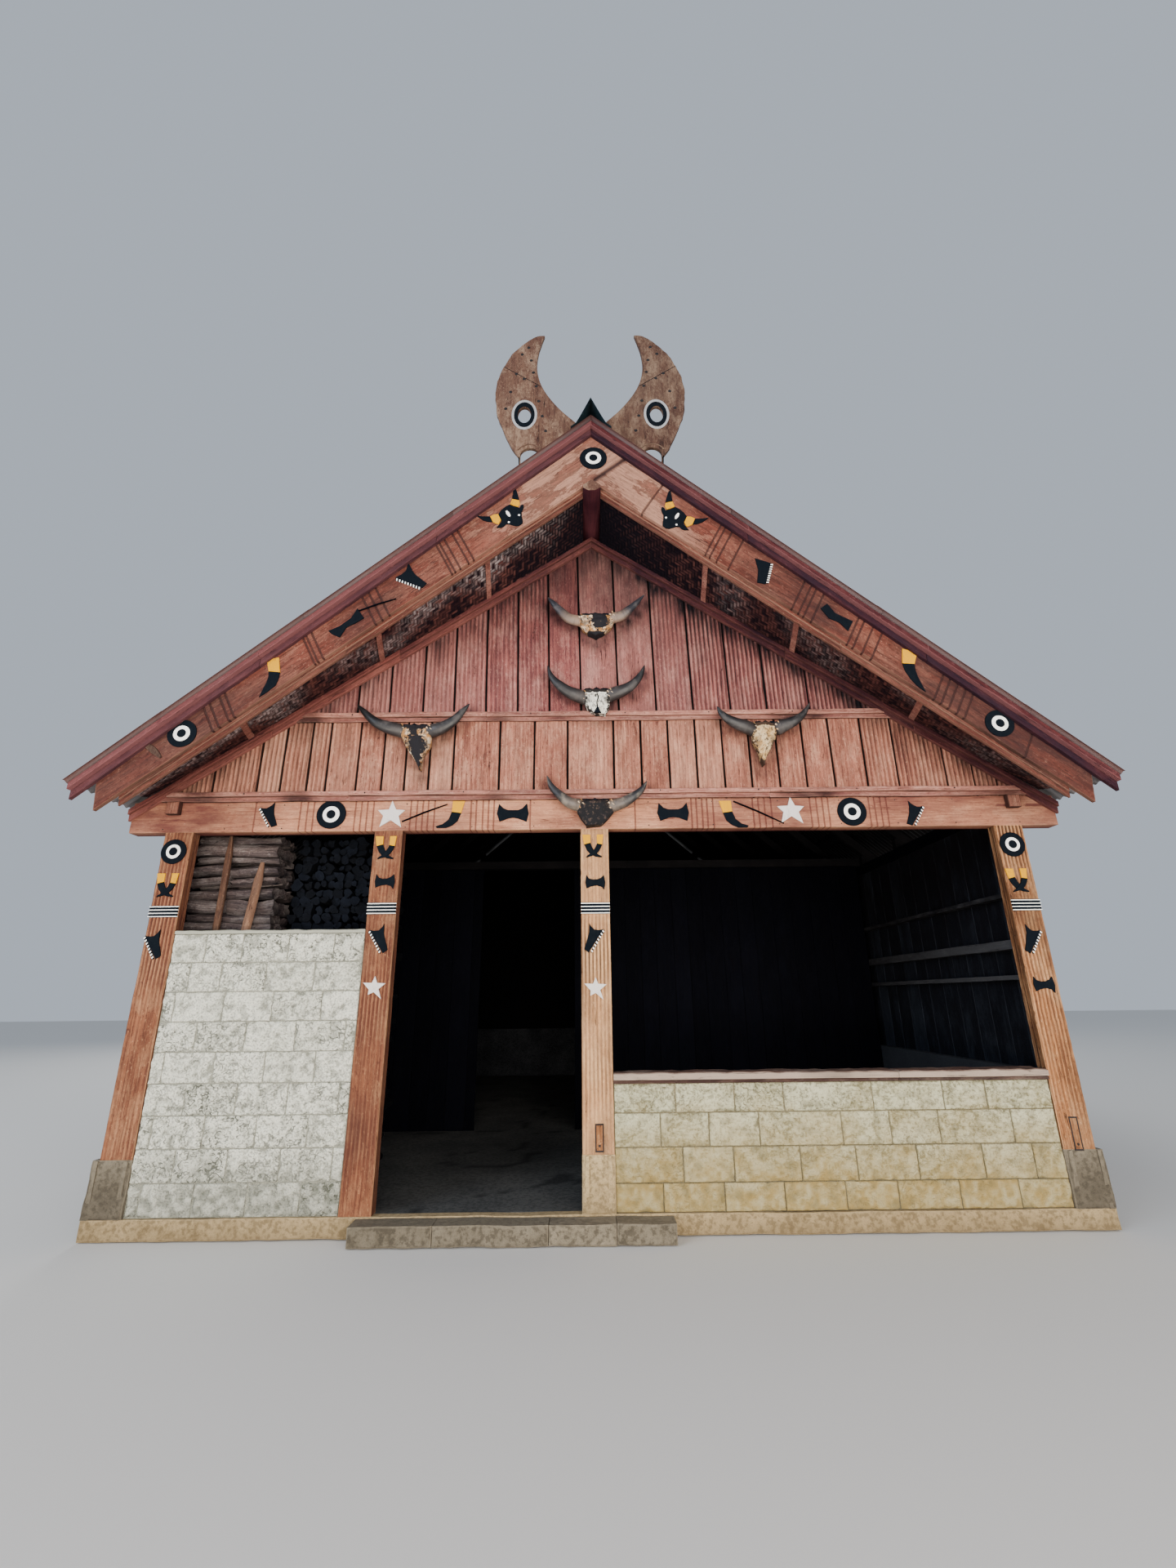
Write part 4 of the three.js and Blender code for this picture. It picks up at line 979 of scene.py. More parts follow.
def make_ridge_cap():
    """The folded cap along the ridge, its fold pinched up in the middle."""
    piece = Piece("folded_ridge_cap", "ridge_metal", RIDGE)
    y = np.concatenate([np.linspace(-0.8, -0.62, 4), np.linspace(-0.5, 10.035, 28)])
    half = [(0.2, roof_line(0.2) + 0.038), (0.17, roof_line(0.17) + 0.039),
            (0.147, roof_line(0.147) + 0.0395), (0.112, 6.982), (0.06, 7.1), (0.012, 7.212), (0.0, 7.238)]
    outline = np.array(half + [(-x, z) for x, z in half[-2::-1]])
    upper = join(*np.broadcast_arrays(outline[:, 0], y[:, None], outline[:, 1]))
    upper[..., 2] -= 0.004 * np.abs(rough(upper, 0.4, 3)) * (upper[..., 2] > 7.05)
    piece.sheet(upper, upper - [0, 0, 0.004], upper[..., [0, 2, 1]], tone=0.2)
    piece.make("ridge_cap", angle=25)


# Horn boards on the ridge

HORN_OUTER = ((-0.478, 8.316), (-0.546, 8.309), (-0.646, 8.248), (-0.773, 8.107), (-0.84, 8.013),
              (-0.904, 7.861), (-0.945, 7.749), (-0.973, 7.581), (-0.972, 7.416), (-0.951, 7.215),
              (-0.893, 7.042), (-0.806, 6.824), (-0.70, 6.64))
HORN_INNER = ((-0.153, 7.11), (-0.301, 7.272), (-0.418, 7.437), (-0.497, 7.591), (-0.538, 7.733),
              (-0.555, 7.904), (-0.538, 8.078), (-0.505, 8.22))
HORN_NAILS = ((-0.646, 8.139), (-0.713, 8.042), (-0.615, 7.955), (-0.591, 7.786), (-0.768, 7.768),
              (-0.687, 7.698), (-0.558, 7.596), (-0.823, 7.52), (-0.867, 7.295), (-0.492, 7.193),
              (-0.455, 6.999), (-0.53, 7.393))
HORN_EYE = (-0.674, 7.213)


def curve_through(points, count):
    """Points of a smooth line through these ones."""
    points = np.array(points)
    ends = np.concatenate([[2 * points[0] - points[1]], points, [2 * points[-1] - points[-2]]])
    made = []
    for a, b, c, d in zip(ends, ends[1:], ends[2:], ends[3:]):
        for t in np.linspace(0, 1, count, endpoint=False):
            made.append(0.5 * (2 * b + (c - a) * t + (2 * a - 5 * b + 4 * c - d) * t * t
                               + (3 * b - a - 3 * c + d) * t ** 3))
    made.append(points[-1])
    return [tuple(p) for p in made]


def make_horn(side, word):
    """A horn board with a ringed eye, seated over the ridge."""
    piece = Piece(f"horn_board_{word}", "horn_wood", HORN_BOARD, BLACK, RING, NAIL)
    seat = lambda x: roof_line(x) + 0.0405
    (bite_x, bite_z), radius = (-0.61, 6.69), 0.095

    def arc(radius, first, last, count):
        return [(bite_x - radius * math.cos(a), bite_z + radius * math.sin(a))
                for a in np.linspace(first, last, count)]

    foot = [(-0.69, seat(0.69)), (bite_x - radius, seat(bite_x - radius)), *arc(radius, 0.15, 2.75, 16),
            (bite_x + 0.075, seat(0.535)), (-0.153, seat(0.153))]
    jag = random.Random(5 + side)
    edge = [(x + jag.uniform(-0.007, 0.003), z) for x, z in curve_through(HORN_OUTER, 4)[1:]]
    outline = edge + foot + curve_through(HORN_INNER, 5) + [HORN_OUTER[0]]
    for shapes, face, thick, style in (
            ([outline, around(HORN_EYE, 0.067, 36, 1.61)], -0.62, 0.04,
             {"bevel": 0.004, "tone": 0.4, "grime": 0.18 + 0.16 * side}),
            ([around(HORN_EYE, 0.105, 40, 1.56), around(HORN_EYE, 0.068, 40, 1.61)], -0.624, 0.006,
             {"look": 1}),
            ([around(HORN_EYE, 0.13, 40, 1.5), around(HORN_EYE, 0.106, 40, 1.56)], -0.623, 0.005,
             {"look": 2})):
        piece.plaque([[(-side * x, z) for x, z in shape] for shape in shapes], face, thick, **style)
    for line, y, thick, look, shade in (
            (arc(0.135, 0.5, 2.5, 12), -0.621, 0.006, 0, 0.3),
            (((-0.9, 7.867), (-0.7, 7.727), (-0.507, 7.591)), -0.6201, 0.003, 1, 1.0)):
        piece.tube([(-side * x, y, z) for x, z in line], thick, look=look, up=Y, shade=shade)
    for x, z in HORN_NAILS:
        piece.tube([(-side * x, -0.618, z), (-side * x, -0.6235, z)], [0.019, 0.015], sides=8, look=3,
                   shade=1.0)
    piece.make(f"ridge_horn_{word}")


# Lintel and posts

LINTEL_CUTS = (-3.103, -2.692, -2.628, -2.57, -2.191, -2.136, -2.082, -2.025, -1.684, -1.627, -1.574, -1.525,
               -1.467, -1.133, -1.085, -1.024, -0.973, -0.923, -0.591, 0.367, 0.885, 0.931, 0.983, 1.029,
               1.084, 1.45, 1.502, 1.557, 1.618, 1.978, 2.036, 2.091, 2.143, 2.518, 2.57, 2.625, 2.68)
# name, middle, foot, material, tone and how much darker each post is towards its foot
POSTS = (("outer_left", -3.7625, 0.4, POST_OLD, 0.6, 0.0), ("entrance_left", -1.87, 0.0, POST_OLD, 0.3, 0.3),
         ("entrance_right", -0.007, 0.4, POST, 0.9, 0.0), ("outer_right", 3.7625, 0.4, POST, 0.35, 0.2))


def make_lintel():
    """The lintel with its carved notches, and the ends of the wall plates."""
    piece = Piece("carved_lintel", "red_wood", LINTEL)
    reach = 4.22
    cuts = [c + reach for c in LINTEL_CUTS]

    def relief(u, s):
        spot = flat(u, s)
        chips = 0.0025 * rough(spot * [1.6, 0.6, 1], 0.045, 2) + 0.002 * rough(spot, 0.2, 7)
        split = np.abs(u - 0.2 - 0.01 * rough(spot, 0.15, 4)) < 0.006
        split = split & (s > reach + 3.7)
        return np.where(split, -0.008, chips), np.where(split, 1.0, 0.0)

    def grime(u, s):
        spot = flat(u, s)
        ends = unit((np.abs(s - reach) - 0.9) / 2.3) + 0.42 * unit(s - reach - 0.6)
        return np.clip(0.8 * rough(spot, 0.5, 6) - 0.2 + 0.62 * ends, 0, 0.85)

    # The sides darken towards the back: painted shadow on the underside.
    long_board(piece, -reach, reach, LINTEL_LOW, LINTEL_TOP, 0.0, 0.135, cell=(0.03, 0.02), edge=0.006,
               wobble=0.001, grooves=cuts, relief=relief, grime=grime, tone=0.75, worn=0.5, deep=1.0)
    piece.make("lintel")
    plates = Piece("wall_plate_ends", "red_wood", RED, DARK_AND_SHADED)
    for side in (-1, 1):
        a, b = sorted((side * 3.775, side * 3.885))
        # Dark rims and sides: painted shadow around the plate's end.
        plates.board((a, -0.06, 3.18), Z, X, (0.115, b - a, 0.2), cell=(0.03, 0.03), edge=0.008,
                     worn=-0.8, wobble=0.003, tone=0.3, grime=0.3, deep=1.0)
        # The wall plate running back is near black: painted shade inside the porch.
        plates.board((a + 0.001, 0.1402, 3.181), Z, X, (0.113, b - a - 0.002, 9.399), look=1,
                     cell=(0.05, 0.05), edge=0.006, worn=0.2)
    plates.make("wall_plate_left", "wall_plate_right")


def make_posts():
    """Fluted posts: a ribbed face in front and at the back, and plainer sides."""
    inset = 0.003
    for name, centre, foot, look, age, foot_darkening in POSTS:
        piece = Piece(f"fluted_post_{name}", "post_wood", look)
        seed = int(10 * centre) + 50
        low, high = foot + HAIR, LINTEL_LOW - HAIR

        def relief(u, s):
            spot = join(u, s, 0 * u + seed)
            sway = 0.004 * rough(spot, 0.25, seed)
            rib = np.abs(np.sin(math.pi * (u + sway) / 0.032))
            deep = np.clip(0.6 + 0.5 * rough(spot * [0.4, 1, 1], 0.5, seed + 2), 0.25, 1)
            deep = deep * unit(0.45 + s / 2.2)
            chips = 0.003 * rough(spot * [1, 0.9, 1], 0.035, seed + 4)
            # Painted shade in the flutes and a painted highlight on the ribs.
            crest = 0.3 * deep * unit(rib - 0.8) / 0.2
            return -0.008 * deep * (1 - rib) + chips, 1.15 * deep * (1 - rib) ** 1.2 - crest

        def sunk(u, s):
            lift, shade = relief(u, s)
            return np.minimum(lift, 0.0), shade

        def grime(u, s):
            # Darker towards the foot.
            darker_towards_foot = unit(0.35 - s) + foot_darkening * np.clip(2.4 - s, 0.3, 1.6)
            return unit(rough(join(u, 0.5 * s, 0 * u + seed), 0.3, 6) - 0.3 + darker_towards_foot) * 0.7

        for front, out in ((0.0, -1), (0.12, 1)):
            # The boards' sides darken towards the back: painted shade.
            piece.board((centre + out * (POST_WIDTH / 2 - inset), front, low), Z, (-out, 0, 0),
                        (high - low, POST_WIDTH - 2 * inset, 0.0598), out=(0, out, 0), cell=(0.04, 0.0055),
                        edge=0.005, relief=relief, grime=grime, worn=0.7, tone=age, deep=1.0)
        # The side faces are made darker: painted shade.
        for side in (-1, 1):
            face = centre + side * POST_WIDTH / 2
            piece.board((face - side * 0.0005, 0.005, low + 0.002), Z, Y, (high - low - 0.004, 0.11, 0.02),
                        out=(side, 0, 0), cell=(0.06, 0.0055), edge=0.003, wobble=0.0, tone=0.1, worn=0.0,
                        relief=sunk, grime=lambda u, s: unit(0.5 + 0.5 * rough(flat(u, 0.4 * s), 0.2, 8)))
        piece.make(f"post_{name}")


# Carved and painted emblems

JAW_LINTEL = ((-83, 63), (-55, 53), (-23, 55), (18, 81), (46, 111), (44, 53), (51, 1), (71, -51), (92, -105),
              (43, -123))
JAW_POST = ((-77, 76), (-40, 69), (-1, 73), (27, 99), (44, 128), (46, 51), (60, 2), (90, -91), (51, -119))
JAW_BARGE_LEFT = ((-146, -15), (-93, 19), (-54, 59), (-38, 145), (-20, 113), (7, 58), (33, 18), (146, -78),
                  (108, -126))
JAW_BARGE_RIGHT = ((-67, 143), (72, 88), (58, 36), (5, -139), (-70, -121), (-48, 19))
STAR = ((-3, 141), (36, 56), (118, 49), (64, -5), (95, -112), (-5, -44), (-103, -106), (-76, -4), (-128, 51),
        (-29, 57))
STAR_POST = ((4, 104), (28, 46), (109, 41), (46, -8), (77, -94), (2, -34), (-50, -58), (-46, -12), (-107, 50),
             (-22, 46))
HORN_TAIL = ((-13, 21), (72, 9), (44, -67), (-2, -108), (-57, -131), (-141, -130), (-154, -114), (-91, -95),
             (-38, -50))
HORN_CAP = ((-7, 123), (103, 122), (72, 9), (-13, 21))
BOW_LINTEL = ((-128, 90), (-86, 47), (-45, 30), (48, 29), (88, 46), (128, 92), (146, -6), (127, -81),
              (50, -51), (5, -44), (-39, -50), (-119, -78), (-145, -3))
BOW_POST = ((-72, 63), (-49, 32), (-13, 21), (27, 24), (57, 36), (85, 61), (96, -5), (86, -71), (64, -45),
            (22, -32), (-28, -39), (-71, -57), (-81, -3))
BOW_BARGE_LEFT = ((-149, -66), (-54, -17), (38, 65), (86, 165), (154, 64), (87, 15), (5, -34), (-41, -132),
                  (-116, -99))
BOW_BARGE_RIGHT = ((-131, 91), (-66, 141), (-6, 40), (142, -45), (86, -144), (24, -61), (-70, -10))
BULL = ((-67, -28), (-41, 18), (-3, 57), (40, 84), (77, 61), (119, 51), (131, 39), (142, 71), (162, 85),
        (172, 66), (169, 31), (154, -7), (155, -51), (166, -99), (167, -133), (138, -161), (110, -168),
        (75, -159), (43, -146), (11, -146), (-11, -172), (-35, -184), (-78, -186), (-59, -155), (-35, -122),
        (-42, -83))
BULL_HORNS = (((69, 276), (91, 269), (107, 219), (126, 149), (125, 132), (58, 150), (65, 209)),
              ((-277, -43), (-221, -53), (-146, -56), (-116, -121), (-167, -114), (-211, -96)))
BULL_BANDS = (((59, 147), (127, 130), (136, 92), (119, 53), (42, 86)),
              ((-142, -54), (-103, -32), (-69, -30), (-39, -98), (-60, -146), (-83, -138), (-116, -121)))
CROSS_CAPS = (((-110, 98), (-38, 97), (-37, 23), (-94, 8)), ((21, 98), (80, 98), (68, 6), (21, 15)))
CROSS_LEFT = ((-93, 7), (-38, 22), (-22, -18), (-6, -45), (30, -84), (67, -103), (58, -112), (6, -104),
              (-38, -82), (-70, -46))
CROSS_RIGHT = ((22, 14), (68, 5), (56, -28), (30, -66), (-6, -92), (-76, -112), (-70, -98), (-38, -76),
               (-12, -50), (8, -20))
BARGE_HORN_LEFT = (((-67, 174), (34, 198), (62, 53), (-37, 63)),
                   ((-37, 63), (62, 53), (60, -10), (39, -78), (-22, -136), (-84, -184), (-66, -120),
                    (-41, -46), (-32, 10)))
BARGE_HORN_RIGHT = (((-31, 207), (95, 174), (52, 56), (-55, 64)),
                    ((-55, 64), (52, 56), (50, 0), (60, -66), (104, -213), (36, -150), (-2, -94), (-38, -20)))


CAP_AND_TAIL = ("yellow", "black")


def teeth(line, count, long, lean, centre, flip):
    """Slanted white teeth along a jaw's edge, in millimetres from its centre."""
    (x0, z0), (x1, z1) = line
    run = np.array([x1 - x0, z1 - z0]) / count
    way = run / np.linalg.norm(run)
    out = np.array([way[1], -way[0]]) + lean * way
    start, end = np.array([x0, z0]), np.array([x1, z1])
    made = []
    for i in range(count):
        a = start + run * (i + 0.25)
        b = a + run * 0.42
        made.append(put((a, a + out * long, b + out * long * 0.85, b), centre, flip))
    return made, put((start, start + 0.9 * out * long, end + 0.75 * out * long, end), centre, flip)


# what each layer is painted with, and how far it stands proud
LAYERS = {"black": (0, 0.009), "white": (1, 0.0115), "yellow": (2, 0.0095), "top": (0, 0.014),
          "gums": (0, 0.0065), "teeth": (1, 0.0095), "star": (3, 0.0115)}


def make_emblems():
    """Emblems stand a few millimetres proud of the board that carries them, in layers."""
    for name, face, items in (("lintel_emblems", 0.0, LINTEL_ITEMS), ("post_emblems", 0.0, POST_ITEMS),
                              ("barge_emblems", BARGE_Y, BARGE_ITEMS)):
        piece = Piece(name, "red_wood", BLACK, WHITE, YELLOW, SILVER)
        layers = {layer: [] for layer in LAYERS}
        for kind, x, z, *flip in items:
            add_emblem(layers, kind, (x, z), flip)
        for layer, (look, proud) in LAYERS.items():
            for shape in layers[layer]:
                piece.plaque([shape], face - proud, proud + 0.003, look=look, bevel=0.0012)
        piece.make()


def add_emblem(layers, kind, centre, flip):
    """Adds one emblem's shapes to the layers."""
    if kind in TARGETS:
        size, dot = TARGETS[kind]
        layers["black"].append(around(centre, size))
        layers["white"].append(around(centre, size * 0.57))
        layers["top"].append(around(centre, size * dot, 28))
        return
    for layer, outline in OUTLINES.get(kind, ()):
        layers[layer].append(put(outline, centre, flip))
    if kind in JAWS:
        white, gum = teeth(*JAWS[kind], centre, flip)
        layers["teeth"] += white
        layers["gums"].append(gum)


def oval(x, z, wide, tall, count):
    """An oval in millimetres, from its middle and its two axes."""
    return [(x + wide[0] * math.cos(a) - tall[0] * math.sin(a),
             z + wide[1] * math.cos(a) + tall[1] * math.sin(a))
            for a in turns(count)]


def bar_outline(low, high, half):
    """A level bar around the middle, in millimetres."""
    return ((-half, low), (half, low), (half, high), (-half, high))


TARGETS = {"target": (0.134, 0.31), "target_post": (0.112, 0.34), "target_low": (0.122, 0.31)}
JAWS = {"jaw": (((-83, 63), (24, -115)), 7, 19, 0.35), "jaw_post": (((-77, 76), (36, -112)), 8, 18, 0.35),
        "jaw_left": (((-140, -20), (96, -124)), 9, 22, 0.35),
        "jaw_right": (((10, -132), (74, 84)), 9, 22, 0.3)}
OUTLINES = {
    "star": (("star", STAR),), "star_post": (("star", [(0.88 * x, 0.92 * z) for x, z in STAR_POST]),),
    "bow": (("black", BOW_LINTEL),), "bow_post": (("black", BOW_POST),),
    "bow_left": (("black", BOW_BARGE_LEFT),), "bow_right": (("black", BOW_BARGE_RIGHT),),
    "jaw": (("black", JAW_LINTEL),), "jaw_post": (("black", JAW_POST),),
    "jaw_left": (("black", JAW_BARGE_LEFT),), "jaw_right": (("black", JAW_BARGE_RIGHT),),
    "horn": (("yellow", HORN_CAP), ("black", HORN_TAIL)),
    "horn_left": tuple(zip(CAP_AND_TAIL, BARGE_HORN_LEFT)),
    "horn_right": tuple(zip(CAP_AND_TAIL, BARGE_HORN_RIGHT)),
    "cross": (*(("yellow", cap) for cap in CROSS_CAPS), ("black", CROSS_LEFT), ("top", CROSS_RIGHT)),
    "stripes": (("black", bar_outline(-48, 50, 124)),
                *(("white", bar_outline(z - 3.7, z + 3.7, 126)) for z in (-42, -14, 14, 42))),
    "bull": (*(("black", part) for part in (BULL, *BULL_HORNS)), *(("yellow", band) for band in BULL_BANDS),
             ("white", oval(26, -26, (12, 9), (20, 34), 13)), ("white", oval(36, -125, (10, 0), (0, 10), 10)),
             ("white", oval(131, -44, (10, 0), (0, 10), 10)))}
LINTEL_ITEMS = (
    ("jaw", -2.978, 3.184), ("target", -2.405, 3.175), ("star", -1.853, 3.16), ("horn", -1.294, 3.169),
    ("bow", -0.75, 3.172), ("bow", 0.714, 3.166), ("horn", 1.243, 3.15, "flip"), ("star", 1.799, 3.164),
    ("target", 2.352, 3.159), ("jaw", 2.928, 3.146, "flip"))
POST_ITEMS = (
    ("target_post", -3.775, 2.843), ("cross", -3.77, 2.549), ("stripes", -3.7625, 2.311),
    ("jaw_post", -3.802, 2.031), ("cross", -1.87, 2.869), ("bow_post", -1.87, 2.56),
    ("stripes", -1.87, 2.321), ("jaw_post", -1.877, 2.061), ("star_post", -1.875, 1.659),
    ("cross", -0.007, 2.867), ("bow_post", -0.012, 2.536), ("stripes", -0.007, 2.307),
    ("jaw_post", -0.018, 2.05, "flip"), ("star_post", -0.016, 1.634), ("target_post", 3.755, 2.84),
    ("cross", 3.75, 2.523), ("stripes", 3.7625, 2.3), ("jaw_post", 3.757, 2.007, "flip"),
    ("bow_post", 3.757, 1.637))
BARGE_ITEMS = (
    ("target", 0.021, 6.604), ("bull", -0.823, 5.966), ("bull", 0.833, 5.925, "flip"),
    ("jaw_left", -1.663, 5.249), ("jaw_right", 1.573, 5.276), ("bow_left", -2.207, 4.747),
    ("bow_right", 2.18, 4.785), ("horn_left", -2.791, 4.221), ("horn_right", 2.749, 4.251),
    ("target_low", -3.472, 3.706), ("target_low", 3.429, 3.738))


def make_small_things():
    """Beam end, rods, slots with a wooden key, a strap and nails."""
    piece = Piece("rods_and_straps", "dark_wood", DARK_AND_SHADED, NAIL, HORN_BOARD, POST)
    beam_end = [(-0.082, 6.202), (-0.03, 6.169), (0.03, 6.169), (0.082, 6.202), (0.082, 6.234), (0.0, 6.299),
                (-0.082, 6.234)]
    piece.plaque([beam_end], -0.7165, 0.006, look=2, bevel=0.002, tone=0.6)
    for a, b, y in (((-1.755, 3.101), (-1.35, 3.262), -0.008), ((1.273, 3.267), (1.717, 3.054), -0.008),
                    ((-2.108, 4.883), (-1.782, 5.008), -0.668)):
        piece.tube([(a[0], y, a[1]), ((a[0] + b[0]) / 2, y, (a[1] + b[1]) / 2 + 0.006), (b[0], y, b[1])],
                   [0.008, 0.009, 0.006], up=Y)
    for x, low, high in ((0.002, 0.418, 0.619), (3.757, 0.392, 0.633)):
        slot, key = ([(x - half, low + inset), (x + half, low + inset), (x + half, high - inset),
                      (x - half, high - inset)] for half, inset in ((0.034, 0), (0.025, 0.012)))
        piece.plaque([slot, key], -0.006, 0.009, look=1)
        piece.plaque([key], -0.003, 0.004, look=3, bevel=0.0005, tone=0.35, shade=0.3)
        piece.tube([(x, -0.002, low + 0.045), (x, -0.0075, low + 0.045)], [0.011, 0.008], sides=8, look=1)
    strap = [(-3.83, 3.645), (-3.8, 3.667), (-3.66, 3.575), (-3.6, 3.5), (-3.615, 3.485), (-3.69, 3.53)]
    piece.plaque([strap], BARGE_Y - 0.012, 0.015, look=2, bevel=0.002, tone=0.2, shade=0.55)

    def nail(x, y, z, head, tip):
        """A nail's head, standing just off the wood."""
        piece.tube([(x, y + 0.002, z), (x, y - 0.003, z)], [head, tip], sides=8, look=1)

    for y, z, places in ((-0.05, RAIL_TOP - 0.022, (-2.3, -1.5, -0.6, 0.3, 1.1, 1.9)),
                         (-0.065, 3.362, (-3.2, -2.1, -1.2, -0.4, 0.6, 1.5, 2.4, 3.3))):
        for x in places:
            nail(x, y, z, 0.009, 0.006)
    for x in np.arange(-3.95, 4.0, 0.56):
        for z in (LINTEL_LOW + 0.03, LINTEL_TOP - 0.03):
            nail(x + 0.04 * math.sin(9 * x), 0.0, z, 0.007, 0.005)
    piece.make()


# Buffalo skulls: each head is a domed shape between its own left and right outline, with thick curved horns

SKULLS = {
    "top": (
        ((-0.128, 5.14), (-0.229, 5.149), (-0.317, 5.227), (-0.395, 5.326), (-0.445, 5.392)),
        ((0.203, 5.17), (0.285, 5.175), (0.362, 5.233), (0.443, 5.319), (0.525, 5.414)),
        ((-0.121, 5.206), (0.178, 5.208), (0.214, 5.118), (0.193, 5.063), (0.123, 4.999), (0.035, 4.961),
        (-0.047, 4.993),
         (-0.103, 5.039), (-0.134, 5.109))),
    "middle": (
        ((-0.105, 4.3), (-0.223, 4.336), (-0.32, 4.404), (-0.401, 4.5), (-0.44, 4.622)),
        ((0.165, 4.322), (0.269, 4.349), (0.369, 4.404), (0.453, 4.507), (0.499, 4.62)),
        ((-0.083, 4.368), (0.142, 4.379), (0.159, 4.299), (0.155, 4.219), (0.138, 4.153), (0.107, 4.116),
         (-0.001, 4.117), (-0.061, 4.168), (-0.084, 4.234), (-0.095, 4.3))),
    "left": (
        ((-1.817, 3.969), (-1.937, 3.993), (-2.051, 4.043), (-2.161, 4.143), (-2.238, 4.226)),
        ((-1.537, 3.959), (-1.433, 3.978), (-1.321, 4.044), (-1.24, 4.143), (-1.178, 4.224)),
        ((-1.81, 4.016), (-1.571, 4.017), (-1.523, 3.898), (-1.523, 3.804), (-1.585, 3.722), (-1.611, 3.579),
         (-1.668, 3.675), (-1.744, 3.781), (-1.808, 3.908))),
    "right": (
        ((1.486, 3.958), (1.374, 3.989), (1.278, 4.032), (1.208, 4.1), (1.17, 4.177)),
        ((1.737, 3.965), (1.808, 3.987), (1.895, 4.023), (1.98, 4.093), (2.056, 4.206)),
        ((1.527, 4.014), (1.711, 4.02), (1.719, 3.938), (1.705, 3.854), (1.652, 3.76), (1.599, 3.672),
         (1.57, 3.597), (1.543, 3.655), (1.53, 3.726), (1.487, 3.82), (1.484, 3.904))),
    "lintel": (
        ((-0.144, 3.22), (-0.224, 3.236), (-0.305, 3.297), (-0.392, 3.391), (-0.435, 3.496)),
        ((0.154, 3.211), (0.246, 3.232), (0.34, 3.283), (0.424, 3.353), (0.475, 3.435)),
        ((-0.126, 3.267), (0.126, 3.264), (0.17, 3.153), (0.117, 3.088), (0.053, 3.026), (-0.074, 3.024),
         (-0.128, 3.091), (-0.164, 3.156)))}


def skull_head(piece, outline, mask):
    """The head between its outline's two sides. mask gives how dark each point is."""
    outline = np.array(outline)
    foot = int(outline[:, 1].argmin())
    top = outline[:2, 1].mean()
    rows = top - (top - outline[foot, 1]) * np.linspace(0, 1, 22) ** 0.9
    right = outline[1:foot + 1]
    left = np.concatenate([outline[foot:], outline[:1]])
    x_right = np.interp(-rows, -right[:, 1], right[:, 0])
    x_left = np.interp(-rows, -left[::-1, 1], left[::-1, 0])
    half = np.maximum((x_right - x_left) / 2, 0.006)[:, None]
    middle = ((x_right + x_left) / 2)[:, None]
    down = np.linspace(0, 1, len(rows))[:, None]
    crown = np.interp(down, [0, 0.08, 0.35, 0.8, 1], [0.55, 0.9, 1.0, 0.75, 0.5])
    cos, sin = np.cos(turns(28)), np.sin(turns(28))
    x = middle + half * np.sign(cos) * np.abs(cos) ** 0.75
    z = rows[:, None] + 0 * x
    front = unit(sin) ** 0.45
    spot = join(x, 0 * x, z)
    seed = abs(int(1000 * middle[0, 0])) + 3
    share = (x - middle) / half
    socket = np.exp(-(((np.abs(share) - 0.72) / 0.2) ** 2 + ((down - 0.42) / 0.12) ** 2))
    bumps = 0.012 * rough(spot, 0.06, seed) + 0.006 * rough(spot, 0.025, seed + 2)
    y = -0.066 - (0.062 * crown + bumps - 0.02 * socket) * front + 0.064 * unit(-sin) ** 0.5
    points = join(x, np.clip(y, -0.14, -0.001), z)
    piece.bar(points, grime=unit(mask(share, down + 0 * x)), shade=unit(socket) * 0.8, tone=0.5, grain=points)


def skull_horn(piece, route, look, radii, ridged):
    """A flattened curved horn from the side of the head to its tip."""
    route = np.array(route)
    inward = route[0] - 0.5 * (route[1] - route[0])
    line = np.array(curve_through(np.concatenate([[inward], route]), 8))
    share = np.linspace(0, 1, len(line))
    depth = np.interp(share, [0, 0.18, 0.35, 0.6, 1], [-0.05, -0.066, -0.1, -0.118, -0.108])
    path = np.stack([line[:, 0], depth, line[:, 1]], axis=1)
    size = np.interp(share, [0, 0.15, 0.3, 0.55, 0.8, 0.95, 1], radii)
    size = size * (1 + ridged * np.sin(share * 130) * unit(1.1 - 1.3 * share))
    piece.tube(path, size, sides=16, squash=0.72, look=look, up=Y, lumpy=0.05,
               grime=unit(share * 2.6 - 0.6))


